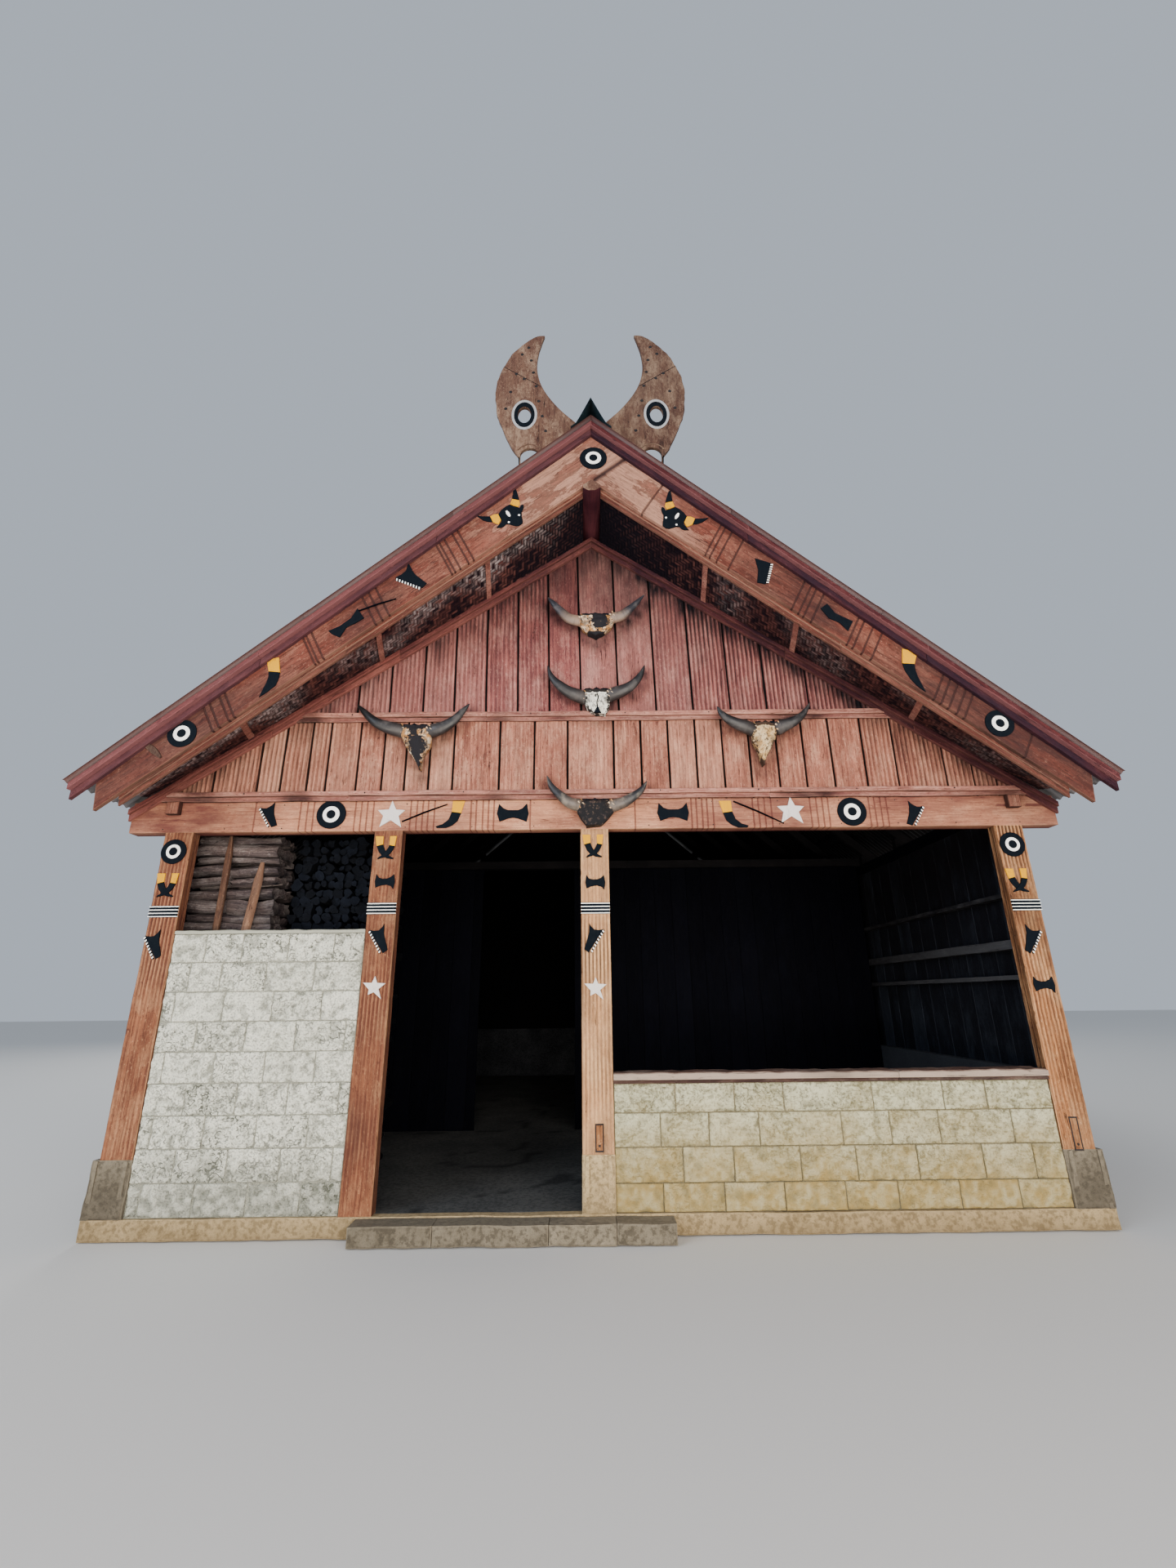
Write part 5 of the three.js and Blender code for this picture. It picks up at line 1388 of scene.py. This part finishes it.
def make_skulls():
    """Heads and horns, with a roll of dark hide over each crown and torn hide beside the horns."""
    spots = {
        # On the top skull the lowest rows are dark: painted shadow.
        "top": lambda x, d: (0.3 + 0.9 * (np.abs(x - 0.15) < 0.42) * (d < 0.62) + 0.9 * (d > 0.84)
                             + 0.8 * (d < 0.07)),
        "middle": lambda x, d: 0.2 + 0.9 * (d < 0.1) + 0.4 * (np.abs(x) > 0.75),
        "left": lambda x, d: 1.0 * (d < 0.07) + 1.1 - 1.15 * unit(np.abs(x) + 1.1 * unit(0.5 - d) - 0.3),
        "right": lambda x, d: 0.16 + 0.95 * (d > 0.86) + 0.35 * (np.abs(x) > 0.8) + 0.8 * (d < 0.06),
        "lintel": lambda x, d: 0.68 + 0.0 * x}
    thick = (0.045, 0.056, 0.056, 0.046, 0.028, 0.012, 0.004)
    wide = (0.05, 0.068, 0.066, 0.05, 0.03, 0.013, 0.004)
    kinds = {"top": (FACE_TORN, HORN_TAN, thick, 0.02), "middle": (FACE_WHITE, HORN_GREY, wide, 0.03),
             "left": (FACE_TORN, HORN_GREY, wide, 0.03), "right": (FACE_TAN, HORN_GREY, wide, 0.03),
             "lintel": (FACE_DARK, HORN_BROWN, thick, 0.05)}
    for name, (left, right, head) in SKULLS.items():
        face, horn, radii, ridged = kinds[name]
        piece = Piece(f"hung_skull_{name}", "bone", face, horn, BLACK, FACE_TORN)
        skull_head(piece, head, spots[name])
        for route in (left, right):
            skull_horn(piece, route, 1, radii, ridged)
        top = max(head[0][1], head[1][1])
        middle = (head[0][0] + head[1][0]) / 2
        half = abs(head[1][0] - head[0][0]) / 2
        crest = [(middle + half * t, -0.075 + 0.02 * t * t, top - 0.012 + 0.01 * math.cos(9 * t)) for t in
                 np.linspace(-1.15, 1.15, 9)]
        piece.tube(crest, [0.014, 0.03, 0.026, 0.024, 0.026, 0.024, 0.026, 0.03, 0.014], sides=9, lumpy=0.3,
                   look=2, up=Y, shade=0.4)
        for side, (x, z) in ((-1, left[0]), (1, right[0])):
            for k in range(4):
                a = 1.4 * k
                at = (x - side * 0.012 + 0.02 * math.cos(a), -0.122 + 0.006 * k,
                      z + 0.035 * math.sin(a) + 0.015)
                piece.tube([at, (at[0] + 0.012, at[1] - 0.004, at[2] - 0.016)], [0.009, 0.004], look=3,
                           up=Y, tone=0.9)
        if name == "middle":
            piece.plaque([[(0.036, 4.187), (0.069, 4.117), (0.001, 4.117)]], -0.131, 0.03, look=2,
                         bevel=0.002)
            piece.tube([(0.03, -0.134, 4.33), (0.045, -0.136, 4.27), (0.03, -0.135, 4.22),
                        (0.036, -0.13, 4.18)],
                       [0.003, 0.006, 0.004, 0.006], look=2, up=Y)
        piece.make(f"skull_{name}", angle=50)


# Walls. Blocks and boards stand a gap apart, on a backing of mortar or dark wood.

BLOCK_DEEP = 0.05
GAP = 0.003


def hidden_stone(piece, foot, along, length, rows, out, seed):
    """A block of the sides or the back, with larger cells than those in front."""
    low, high = rows
    stone(piece, (*foot, low + GAP), along, Z, (length, high - low - 2 * GAP, BLOCK_DEEP), out, low, 0.75,
          seed)


def stone(piece, foot, along, across, size, out, low, high, seed, cell=0.05, peck=1.0, rim=-0.4):
    """One dressed block with a pecked face and rounded arrises, stained from low up to high."""
    def relief(u, s):
        spot = join(u, s, 0 * u + seed)
        pillow = np.minimum(np.minimum(u, size[1] - u), np.minimum(s, size[0] - s))
        round_off = -0.005 * unit(1 - pillow / 0.018) ** 2
        pecked = peck * (0.004 * rough(spot, 0.055, seed) + 0.004 * rough(spot, 0.03, seed + 3))
        return (pecked + round_off + 0.003 * rough(spot, 0.2, seed + 7),
                np.clip(-pecked / 0.01, -0.35, 0.6) + unit(0.35 - pillow / 0.018))

    def grime(u, s):
        height = low + (s if along[2] else u)
        return unit(1.2 - height / high * 1.15 + 0.25 * rough(join(u, s, 0 * u + seed), 0.2, seed))

    piece.board(foot, along, across, size, out=out, cell=(cell, cell), wobble=0.0, relief=relief,
                grime=grime, worn=rim, deep=1.0, tone=0.36 + 0.28 * RNG.random())


def course(piece, joints, x0, x1, z0, z1, low_stain, seed, peck=1.0, rim=-0.4):
    """A course of blocks along the front."""
    gap = 0.0025
    edges = [x0, *[j for j in joints if x0 + 0.05 < j < x1 - 0.05], x1]
    for number, (a, b) in enumerate(zip(edges, edges[1:])):
        stone(piece, (a + gap, 0.01, z0 + gap), X, Z, (b - a - 2 * gap, z1 - z0 - 2 * gap, BLOCK_DEEP),
              (0, -1, 0), z0, low_stain, seed + 7 * number, 0.014, peck, rim)


FRONT_ROWS = (
    (0.69, 0.905, (0.615, 1.088, 1.483, 2.198, 2.766, 3.112)),
    (0.447, 0.69, (0.486, 0.869, 1.268, 1.924, 2.308, 2.697, 3.281)),
    (0.2, 0.447, (0.654, 1.05, 1.572, 2.008, 2.487, 3.002, 3.4)),
    (0.002, 0.2, (0.49, 0.963, 1.425, 1.898, 2.301, 2.78, 3.24)))
TALL_ROWS = ((1.88, 2.118, (-3.352, -3.036, -2.642, -2.252)), (1.642, 1.88, (-3.452, -3.185, -2.804, -2.396)))


def make_front_walls():
    """The low wall with its cap on the right, and the tall wall on the left."""
    low = Piece("block_wall_right", "grey_stone", GREY_STONE, MORTAR)
    x0, x1 = 0.1208, 3.6347
    for number, (z0, z1, joints) in enumerate(FRONT_ROWS):
        course(low, joints, x0, x1, z0, z1, 0.75, 31 * number)
    long_board(low, x0, x1, 0.001, 0.9045, 0.019, 0.16, cell=(0.06, 0.06), look=1, worn=0.0, wobble=0.002,
               grime=lambda u, s: unit(1.0 - u / 0.8))
    low.make("front_wall_right")
    cap = Piece("worn_wall_cap", "post_wood", POST, CAP)
    for a, b in ((x0, 2.42), (2.423, x1)):
        cap.board((a, -0.025, 0.985), X, Y, (b - a, 0.205, 0.052), out=Z, cell=(0.03, 0.03), edge=0.012,
                  wobble=0.006, worn=0.9, tone=0.4, look=1,
                  grime=lambda u, s: unit(0.5 * rough(flat(u, s), 0.2, 3)))
        # The strip under the cap is dark: painted shadow under the cap board.
        cap.board((a, -0.006, 0.931), X, Y, (b - a, 0.179, 0.025), out=Z, cell=(0.05, 0.05), wobble=0.002,
                  tone=0.1, look=1, grime=0.7, worn=0.0)
    cap.make("front_wall_cap")
    tall = Piece("block_wall_left", "white_stone", WHITE_STONE, WHITE_MORTAR)
    x0, x1 = -3.6347, -1.9978
    rows = list(TALL_ROWS)
    edge, number = 1.642, 0
    while edge > 0.05:
        foot = max(edge - 0.2345, 0.002)
        rows.append((foot, edge, [x0 + 0.22 * (number % 2) + 0.41 * k + 0.1 for k in range(5)]))
        edge, number = foot, number + 1
    for number, (z0, z1, joints) in enumerate(rows):
        course(tall, joints, x0, x1, z0, z1, 0.5, 500 + 31 * number, 1.5, -0.2)
    long_board(tall, x0, x1, 0.001, 2.118, 0.018, 0.16, cell=(0.08, 0.08), look=1, worn=0.0)
    tall.board((x0, 0.008, 2.149), X, Y, (x1 - x0, 0.153, 0.03), out=Z, cell=(0.03, 0.03), edge=0.008,
               wobble=0.006, look=1, tone=0.9, worn=0.8)
    tall.make("front_wall_left")


def make_side_walls():
    """Stone base and boards; shelves inside the right wall."""
    tall, start = BASE_TOP, 0.151
    rows = [(0.002, 0.235), (0.235, 0.47), (0.47, 0.705), (0.705, tall - 0.002)]
    # Outer boards darker towards the foot; inner boards darker towards the top.
    darker_towards_foot = lambda u, s: unit(0.7 - s / 0.6)
    shade_and_smoke = lambda u, s: np.clip(0.3 + 0.35 * s, 0, 0.9)
    for side, word in SIDES:
        piece = Piece(f"block_side_wall_{word}", "grey_stone", SIDE_STONE, SMOKED)
        for number, row in enumerate(rows):
            for y, end in lengths(start, BACK, 0.36, 0.16, 0.15):
                hidden_stone(piece, (side * HALF_WIDTH, y + GAP), Y, end - y - 2 * GAP, row, (side, 0, 0),
                             int(1000 * y) + number)
            inner = HALF_WIDTH - 0.147 if side > 0 else 0.053 - HALF_WIDTH
            hidden_stone(piece, (inner, BACK), X, 0.094, row, Y, 71 + number)
        piece.board((side * (HALF_WIDTH - 0.009), start, 0.001), Y, Z,
                    (BACK - 0.045 - start, tall - 0.001, 0.141), out=(side, 0, 0), cell=(0.2, 0.02), look=1,
                    worn=0.9)
        piece.make(f"side_wall_stone_{word}")
        boards = Piece(f"boarded_side_{word}", "red_wood", SIDE, SHADED_PLANK, SHELF)
        outer = 3.86
        for face, out, thick, look, least, shortest, wobble, worn, grime in (
                (outer, side, 0.03, 0, 0.2, 0.1, 0.003, 0.3, darker_towards_foot),
                (outer - 0.0395, -side, 0.009, 1, 0.22, 0.12, 0.002, 0.5, shade_and_smoke)):
            for y, end in lengths(start, BACK - 0.02, least, 0.1, shortest):
                boards.board((side * face, y + GAP, tall + HAIR), Z, Y,
                             (PLATE_FOOT - tall, end - y - 2 * GAP, thick), out=(out, 0, 0), cell=(0.2, 0.05),
                             wobble=wobble, worn=worn, look=look, grime=grime)
        for height, tallness in ((2.4, 0.04), (1.945, 0.08), (1.68, 0.04)) if side > 0 else ():
            boards.board((outer - 0.041, start, height), Y, Z, (BACK - 0.0606 - start, tallness, -0.088),
                         out=(-1, 0, 0), cell=(0.2, 0.02), look=2, worn=0.5,
                         grime=lambda u, s: np.clip(0.25 * s + 0.8 * (height > 2.2), 0, 0.95))
        for height in (1.35, 2.75):
            boards.board((side * (outer + 0.018), start + 0.02, height), Y, Z,
                         (BACK - 0.2 - start, 0.07, 0.018), out=(side, 0, 0), cell=(0.2, 0.02), edge=0.005,
                         wobble=0.002, worn=0.5)
        boards.make(f"side_wall_boards_{word}")


def make_rear():
    """Stone base, boards up to the roof, battens and barge boards at the back."""
    left, reach, foot = -3.8197, 3.8194, BASE_TOP + HAIR
    stones = Piece("block_wall_rear", "grey_stone", SIDE_STONE, SMOKED)
    for number in range(4):
        row = 0.002 + 0.2345 * number, 0.2345 * (number + 1)
        joints = [-3.74 + 0.21 * (number % 2) + 0.42 * k for k in range(1, 19)]
        edges = [-3.7397, *[j for j in joints if -3.6 < j < 3.6], 3.7397]
        for a, b in zip(edges, edges[1:]):
            hidden_stone(stones, (a + GAP, BACK), X, b - a - 2 * GAP, row, Y, int(999 * a) + number)
    stones.board((-3.7397, BACK - 0.009, 0.001), X, Z, (7.479, 0.939, 0.141), out=Y, cell=(0.2, 0.1), look=1,
                 worn=0.0)
    stones.make("rear_wall_stone")
    boards = Piece("boarded_rear", "red_wood", SIDE, SHADOW_BLACK)
    to_roof = lambda x: roof_line(x) - 0.0986 - foot
    for x, end in lengths(left, reach, 0.24, 0.1, 0.12):
        boards.board((x + GAP, BACK - 0.02, foot), Z, X, (5.0, end - x - 2 * GAP, 0.036), out=Y,
                     cell=(0.25, 0.035), cut=lambda u: (0 * u, to_roof(x + GAP + u)), wobble=0.003,
                     grime=lambda u, s: unit(0.7 - s / 0.6))
    # A near-black board behind the boards: painted shadow in their gaps.
    boards.board((left, BACK - 0.0565, foot), Z, X, (5.0, reach - left, 0.003), out=Y, cell=(1.0, 0.25),
                 cut=lambda u: (0 * u, to_roof(left + u)), worn=0.0, wobble=0.0, look=1)
    for height in (1.5, 3.24):
        boards.board((left, BACK - 0.002, height), X, Z, (reach - left, 0.08, 0.018), out=Y, cell=(0.2, 0.03),
                     edge=0.005, worn=0.5)
    boards.make("rear_wall_boards")
    for side, word in SIDES:
        barge = Piece(f"rear_barge_{word}", "red_wood", BARGE)
        barge.board((side * 0.0006, 9.9953, ROOF_APEX - 0.0008), (side, 0, -ROOF_FALL), (0, 0, -1),
                    (4.109, 0.259, 0.035), out=Y, cell=(0.08, 0.03), edge=0.006, wobble=0.003, worn=0.6)
        barge.make(f"rear_barge_board_{word}")


# Floor, pedestals and the inside

def make_ground_works():
    """Floor slab, entrance step and pedestals."""
    floor = Piece("cement_floor", "concrete", SHADED_FLOOR, CEMENT)
    half = SLAB_HALF

    def worn_floor(u, s):
        crack = np.abs(rough(flat(u, s), 0.9, 5)) < 0.02
        return np.minimum(0.003 * rough(flat(u, s), 0.35, 2), 0.0) - 0.002 * crack, 0.8 * crack

    low, tall, wide = SLAB_LOW, 0.1415, 2 * half - 0.12
    kerb = {"look": 1, "tone": 0.2, "edge": 0.01, "wobble": 0.004, "worn": 0.5,
            "relief": lambda u, s: (0.006 * rough(flat(u, s), 0.09, 4) - 0.007, 0 * u),
            "grime": lambda u, s: unit(0.8 - u / 0.2)}
    floor.board((-half, -0.02, low), X, Z, (2 * half, tall, 0.0995), cell=(0.05, 0.025), **kerb)
    kerb["cell"] = (0.12, 0.04)
    for side in (-1, 1):
        floor.board((side * half, 0.0805, low), Y, Z, (9.5195, tall, 0.0595), out=(side, 0, 0), **kerb)
    floor.board((0.06 - half, BACK, low), X, Z, (wide, tall, 0.0595), out=Y, **kerb)
    floor.board((0.06 - half, 0.08, 0.0), Y, X, (9.46, wide, 0.149), out=Z, cell=(0.09, 0.09), edge=0.008,
                wobble=0.0, relief=worn_floor, grime=lambda u, s: unit(0.6 * rough(flat(u, s), 0.8, 9)))
    floor.make("floor_slab")
    step = Piece("entrance_kerb", "concrete", KERB)
    x = -1.85
    for width in (0.62, 0.85, 0.5, 0.44):
        step.board((x, -0.23, -0.139), X, Z, (width - 0.004, 0.133, 0.2095), cell=(0.03, 0.03), edge=0.014,
                   wobble=0.006, worn=0.6,
                   relief=lambda u, s: (0.008 * rough(flat(u, s), 0.07, 4) - 0.012, 0 * u))
        x += width
    step.make("entrance_step")
    for name, look, old, x0, x1 in (
            ("entrance_right", CEMENT, 0.0, -0.1345, 0.1205), ("outer_right", KERB, 0.75, 3.635, half),
            ("outer_left", KERB, 0.75, -half, -3.635)):
        piece = Piece(f"cement_{name}", "concrete", look)

        def relief(u, s):
            spot = join(u, s, 0 * u + x0)
            # The shade value darkens the lowest few centimetres: painted shade at the foot.
            return (0.006 * rough(spot, 0.09, 3) + 0.003 * rough(spot, 0.03, 5) - 0.012 * s / 0.4 - 0.004,
                    unit(0.5 - s / 0.1))

        style = {"wobble": 0.003, "relief": relief, "grime": lambda u, s: unit(0.7 - s / 0.35 + old)}
        piece.board((x0, -0.02, HAIR), Z, X, (0.399, x1 - x0, 0.085), cell=(0.02, 0.02), edge=0.012, worn=0.7,
                    tone=0.6, **style)
        piece.board((x0 + 0.001, 0.1495, HAIR), Z, X, (0.398, x1 - x0 - 0.002, 0.085), out=Y,
                    cell=(0.03, 0.03), edge=0.012, worn=0.7, tone=0.6, **style)
        for side, face in ((-1, x0), (1, x1)):
            piece.board((face - side * 0.003, -0.012, HAIR), Z, Y, (0.396, 0.154, 0.05), out=(side, 0, 0),
                        cell=(0.03, 0.03), edge=0.008, tone=0.5, **style)
        piece.make(f"pedestal_{name}")


def make_porch():
    """The wall of boards on both sides of the doorway, near black: painted shade of the dark porch, with a
    near-black board behind the gaps, painted shadow.
    """
    for word, x0, x1 in (("left", -3.7397, -1.52), ("right", -0.25, 3.7297)):
        piece = Piece(f"boarded_porch_{word}", "dark_wood", DARK_AND_SHADED, SHADOW_BLACK)
        for x, end in lengths(x0, x1, 0.2, 0.08, 0.1):
            for foot, face, out in ((x + 0.002, PORCH, -1), (end - 0.002, PORCH + 0.04, 1)):
                piece.board((foot, face, 0.001), Z, (-out, 0, 0), (3.293, end - x - 0.004, 0.017),
                            out=(0, out, 0), cell=(0.25, 0.035), wobble=0.002, worn=0.5)
        piece.board((x0 + 0.002, PORCH + 0.0175, 0.002), Z, X, (3.29, x1 - x0 - 0.004, 0.005), look=1,
                    cell=(0.8, 0.4), worn=0.0, wobble=0.0)
        piece.make(f"porch_wall_{word}")


LOG_SIDES = 9


def split_log(piece, path, girth, cross, seed, tall, **style):
    """A split log with a lumpy section and ragged ends."""
    path = np.asarray(path, float)
    angle = turns(LOG_SIDES) + seed
    spot = join(np.cos(angle), np.sin(angle), 0 * angle + seed)
    section = 1 + 0.45 * rough(spot, 0.8, seed)
    swell = 1 + 0.28 * rough(path[:, None] + 0.1 * spot[None], 0.16, seed + 1)
    rings = ring_points(path, girth * section[None] * swell, *np.array(cross, float), angle, tall)
    run = path[-1] - path[0]
    run = run / np.linalg.norm(run)
    rings[0] += 0.03 * rough(spot, 0.5, seed + 2)[:, None] * run
    rings[-1] += 0.03 * rough(spot, 0.5, seed + 3)[:, None] * run
    # Painted shade on the undersides and in the hollows of the section; the right ends are darker too.
    dark = np.clip(0.6 * (1 - section) + 0.75 * unit(-np.sin(angle) - 0.15), 0, 0.95)
    ends = unit((path[:, 0] + 3.12) / 0.2) * (path[-1, 0] > path[0, 0] + 0.1)
    piece.bar(rings, grain=round_grain(girth, angle, np.linalg.norm(path - path[0], axis=1)),
              grime=unit(dark[None] + 0.6 * ends[:, None]), **style)


def make_firewood():
    """Logs lying across the left bay between two poles, and logs seen end on."""
    rack = Piece("split_log_rack", "log_wood", LOG, POLE)
    z, row = 0.07, 0
    while z < 3.04:
        start = -3.735 if z < 1.02 else -3.815
        thick = 0.042 + 0.032 * RNG.random()
        girth = min(thick, 3.08 - z) if z > 2.9 else thick
        for depth in (0.4, 0.53, 0.67):
            x = start + 0.02 + 0.02 * RNG.random()
            stop = -2.97 - 0.03 * RNG.random()
            split = start + (0.35 + 0.25 * RNG.random()) * (stop - start) if RNG.random() < 0.35 else stop
            for a, b in ((x, split - 0.01), (split, stop)):
                if b - a < 0.15:
                    continue
                n = max(6, int((b - a) / 0.045))
                path = join(np.linspace(a, b, n), depth + 0.015 * np.sin(np.linspace(0, 2, n) + z),
                            z + 0.012 * np.sin(np.linspace(0, 3, n) + z * 9))
                split_log(rack, path, girth, (Y, Z), row + 10 * depth + a, 0.86, tone=RNG.random(),
                          shade=0.3 * RNG.random())
        z += 1.86 * thick
        row += 1
    for x0, x1, top, half, tone, grime in ((-3.459, -3.449, 3.055, 0.03, 0.25, 0.35),
                                           (-3.408, -3.119, 2.8, 0.042, 0.75, 0.0)):
        n = 18
        path = join(np.linspace(x0, x1, n) + 0.006 * np.sin(np.linspace(0, 9, n)), np.full(n, 0.298),
                    np.linspace(0.001, top, n))
        girth = np.full(n, half)
        girth[-1] *= 0.45
        rack.tube(path, girth, sides=10, squash=0.75, lumpy=0.2, up=Y, tone=tone, grime=grime, look=1)
    rack.make("firewood_rack", angle=45)
    pile = Piece("end_on_logs", "log_wood", SHADED_LOG)
    z, row = 0.06, 0
    while z < 3.03:
        x = -2.88 + 0.05 * (row % 2)
        edge = -2.07 if z < 2.85 else -2.07 - (z - 2.85) * 0.9
        while x < edge:
            girth = 0.026 + 0.03 * RNG.random()
            front = 0.51 + 0.06 * RNG.random()
            high = z + 0.016 * RNG.random()
            path = [(x, front, high), (x, front + 0.006, high), (x + 0.01, 0.9, z), (x, 1.32, high)]
            # The cut end is a little pale and each log darkens further in: painted highlight and painted
            # shade.
            split_log(pile, path, girth, (X, Z), 31 * row + 7 * x, 1.0, tone=RNG.random(),
                      shade=np.repeat([-0.35 * RNG.random() ** 2, 0.5, 0.8, 0.8], LOG_SIDES))
            x += 1.75 * girth + 0.012
        z += 0.08
        row += 1
    pile.make("firewood_pile", angle=45)


# CAD nodes whose shape is already right keep it, with worn edges and a material of their own.

def world_wood(name, base, pale, dark, axis):
    """Timber for a CAD node. It has no grain coordinates, so the grain follows an axis of the house."""
    look = Look(name, base, 0.85, specular=0.1)
    place = look.node("ShaderNodeTexCoord", {}, "Object")
    stretch = [1.0, 1.0, 1.0]
    stretch[axis] = 0.05
    long = look.node("ShaderNodeMapping", {"Vector": place, "Scale": stretch})
    fibre = look.node("ShaderNodeTexNoise", {"Vector": long, "Scale": 60.0, "Detail": 5.0, "Roughness": 0.7})
    patch = look.node("ShaderNodeTexNoise", {"Vector": place, "Scale": 3.0, "Detail": 4.0})
    look.lay(patch, pale, 0.35, 0.65)
    look.lay(fibre, dark, 0.35, 0.62, 0.6, 0.0)
    return look.finish(fibre, 0.002, look.span(fibre, 0.3, 0.7, 0.7, 0.95))


def finish_kept(names, material, bevel):
    """Gives CAD nodes a material and soft edges."""
    for name in names:
        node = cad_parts[name]
        node.data.materials.clear()
        node.data.materials.append(material)
        soft = node.modifiers.new("soft_edges", "BEVEL")
        soft.width = bevel
        soft.segments = 2
        soft.limit_method = "ANGLE"


def make_kept():
    """Materials and soft edges for the CAD nodes that stay. The near-black roof frame and porch beam are
    painted shade of the dark roof space and porch.
    """
    dark = world_wood("shaded_timber", "09080b", "141214", "040406", 1)
    beam = world_wood("ridge_beam_wood", "36161e", "52282e", "1a0c18", 1)
    cross = world_wood("cross_beam_wood", "0a090c", "161416", "050507", 0)
    finish_kept(("roof_frame_left", "roof_frame_right"), dark, 0.006)
    finish_kept(("ridge_beam",), beam, 0.003)
    finish_kept(("porch_beam",), cross, 0.006)


# Stage, light and camera

def make_stage():
    """The ground under the house."""
    floor = bpy.data.meshes.new("floor")
    size, low = 60.0, FLOOR_Z - 0.152
    floor.from_pydata([(-size, -size, low), (size, -size, low), (size, size, low), (-size, size, low)], [],
                      [(0, 1, 2, 3)])
    thing = bpy.data.objects.new("studio_floor", floor)
    bpy.context.scene.collection.objects.link(thing)
    look = Look("studio_floor", (0.66, 0.65, 0.63, 1), 0.95, specular=0.1)
    look.shader.inputs["Base Color"].default_value = look.colour
    floor.materials.append(look.material)


def area_light(name, place, aim, size, power, colour):
    """A rectangular lamp that faces a point."""
    data = bpy.data.lights.new(name, "AREA")
    data.shape = "RECTANGLE"
    data.size, data.size_y = size
    data.energy = power
    data.color = colour
    thing = bpy.data.objects.new(name, data)
    thing.location = place
    thing.rotation_euler = (Vector(aim) - Vector(place)).to_track_quat("-Z", "Y").to_euler()
    bpy.context.scene.collection.objects.link(thing)


def make_light():
    """A pale sky, lamps in front and one behind."""
    world = bpy.data.worlds.new("studio")
    world.use_nodes = True
    sky = world.node_tree.nodes["Background"]
    sky.inputs["Color"].default_value = (0.78, 0.87, 1.0, 1)
    sky.inputs["Strength"].default_value = 0.6
    bpy.context.scene.world = world
    area_light("cool_left", (-14.0, -17.0, 9.0), (-1, -4, 3), (11, 9), 2100, (0.78, 0.87, 1.0))
    area_light("warm_front", (4.0, -19.5, 4.5), (0, -4, 3), (12, 7), 2300, (1.0, 0.92, 0.84))
    area_light("bounce", (0.0, -12.5, 0.5), (0, -4, 4), (16, 1.2), 1100, (1.0, 0.9, 0.76))
    area_light("back", (-6.0, 18.0, 16.0), (0, 3, 4), (12, 9), 2600, (1.0, 0.97, 0.92))


def make_camera():
    """The photograph's view: low, tilted up and a little rolled."""
    data = bpy.data.cameras.new("view")
    data.sensor_width = 36
    data.sensor_fit = "AUTO"
    data.lens = 14.855
    data.clip_end = 300
    pitch, yaw, roll = math.radians(18.31), 0.0052, -0.0102
    ahead = Vector((math.sin(yaw) * math.cos(pitch), math.cos(yaw) * math.cos(pitch), math.sin(pitch)))
    right = Vector((math.cos(yaw), -math.sin(yaw), 0))
    up = right.cross(ahead)
    turned_right = right * math.cos(roll) + up * math.sin(roll)
    turned_up = up * math.cos(roll) - right * math.sin(roll)
    camera = bpy.data.objects.new("camera", data)
    camera.matrix_world = Matrix.Translation((-0.0901, -10.3175, 1.7123)) @ Matrix(
        (turned_right, turned_up, -ahead)).transposed().to_4x4()
    bpy.context.scene.collection.objects.link(camera)
    bpy.context.scene.camera = camera


make_gable()
make_rails()
make_mouldings()
make_barge()
make_soffit()
make_roof()
make_ridge_cap()
make_horn(-1, "left")
make_horn(1, "right")
make_lintel()
make_posts()
make_emblems()
make_small_things()
make_skulls()
make_front_walls()
make_side_walls()
make_rear()
make_ground_works()
make_porch()
make_firewood()
make_kept()
make_stage()
make_light()
make_camera()

bpy.context.view_layer.update()
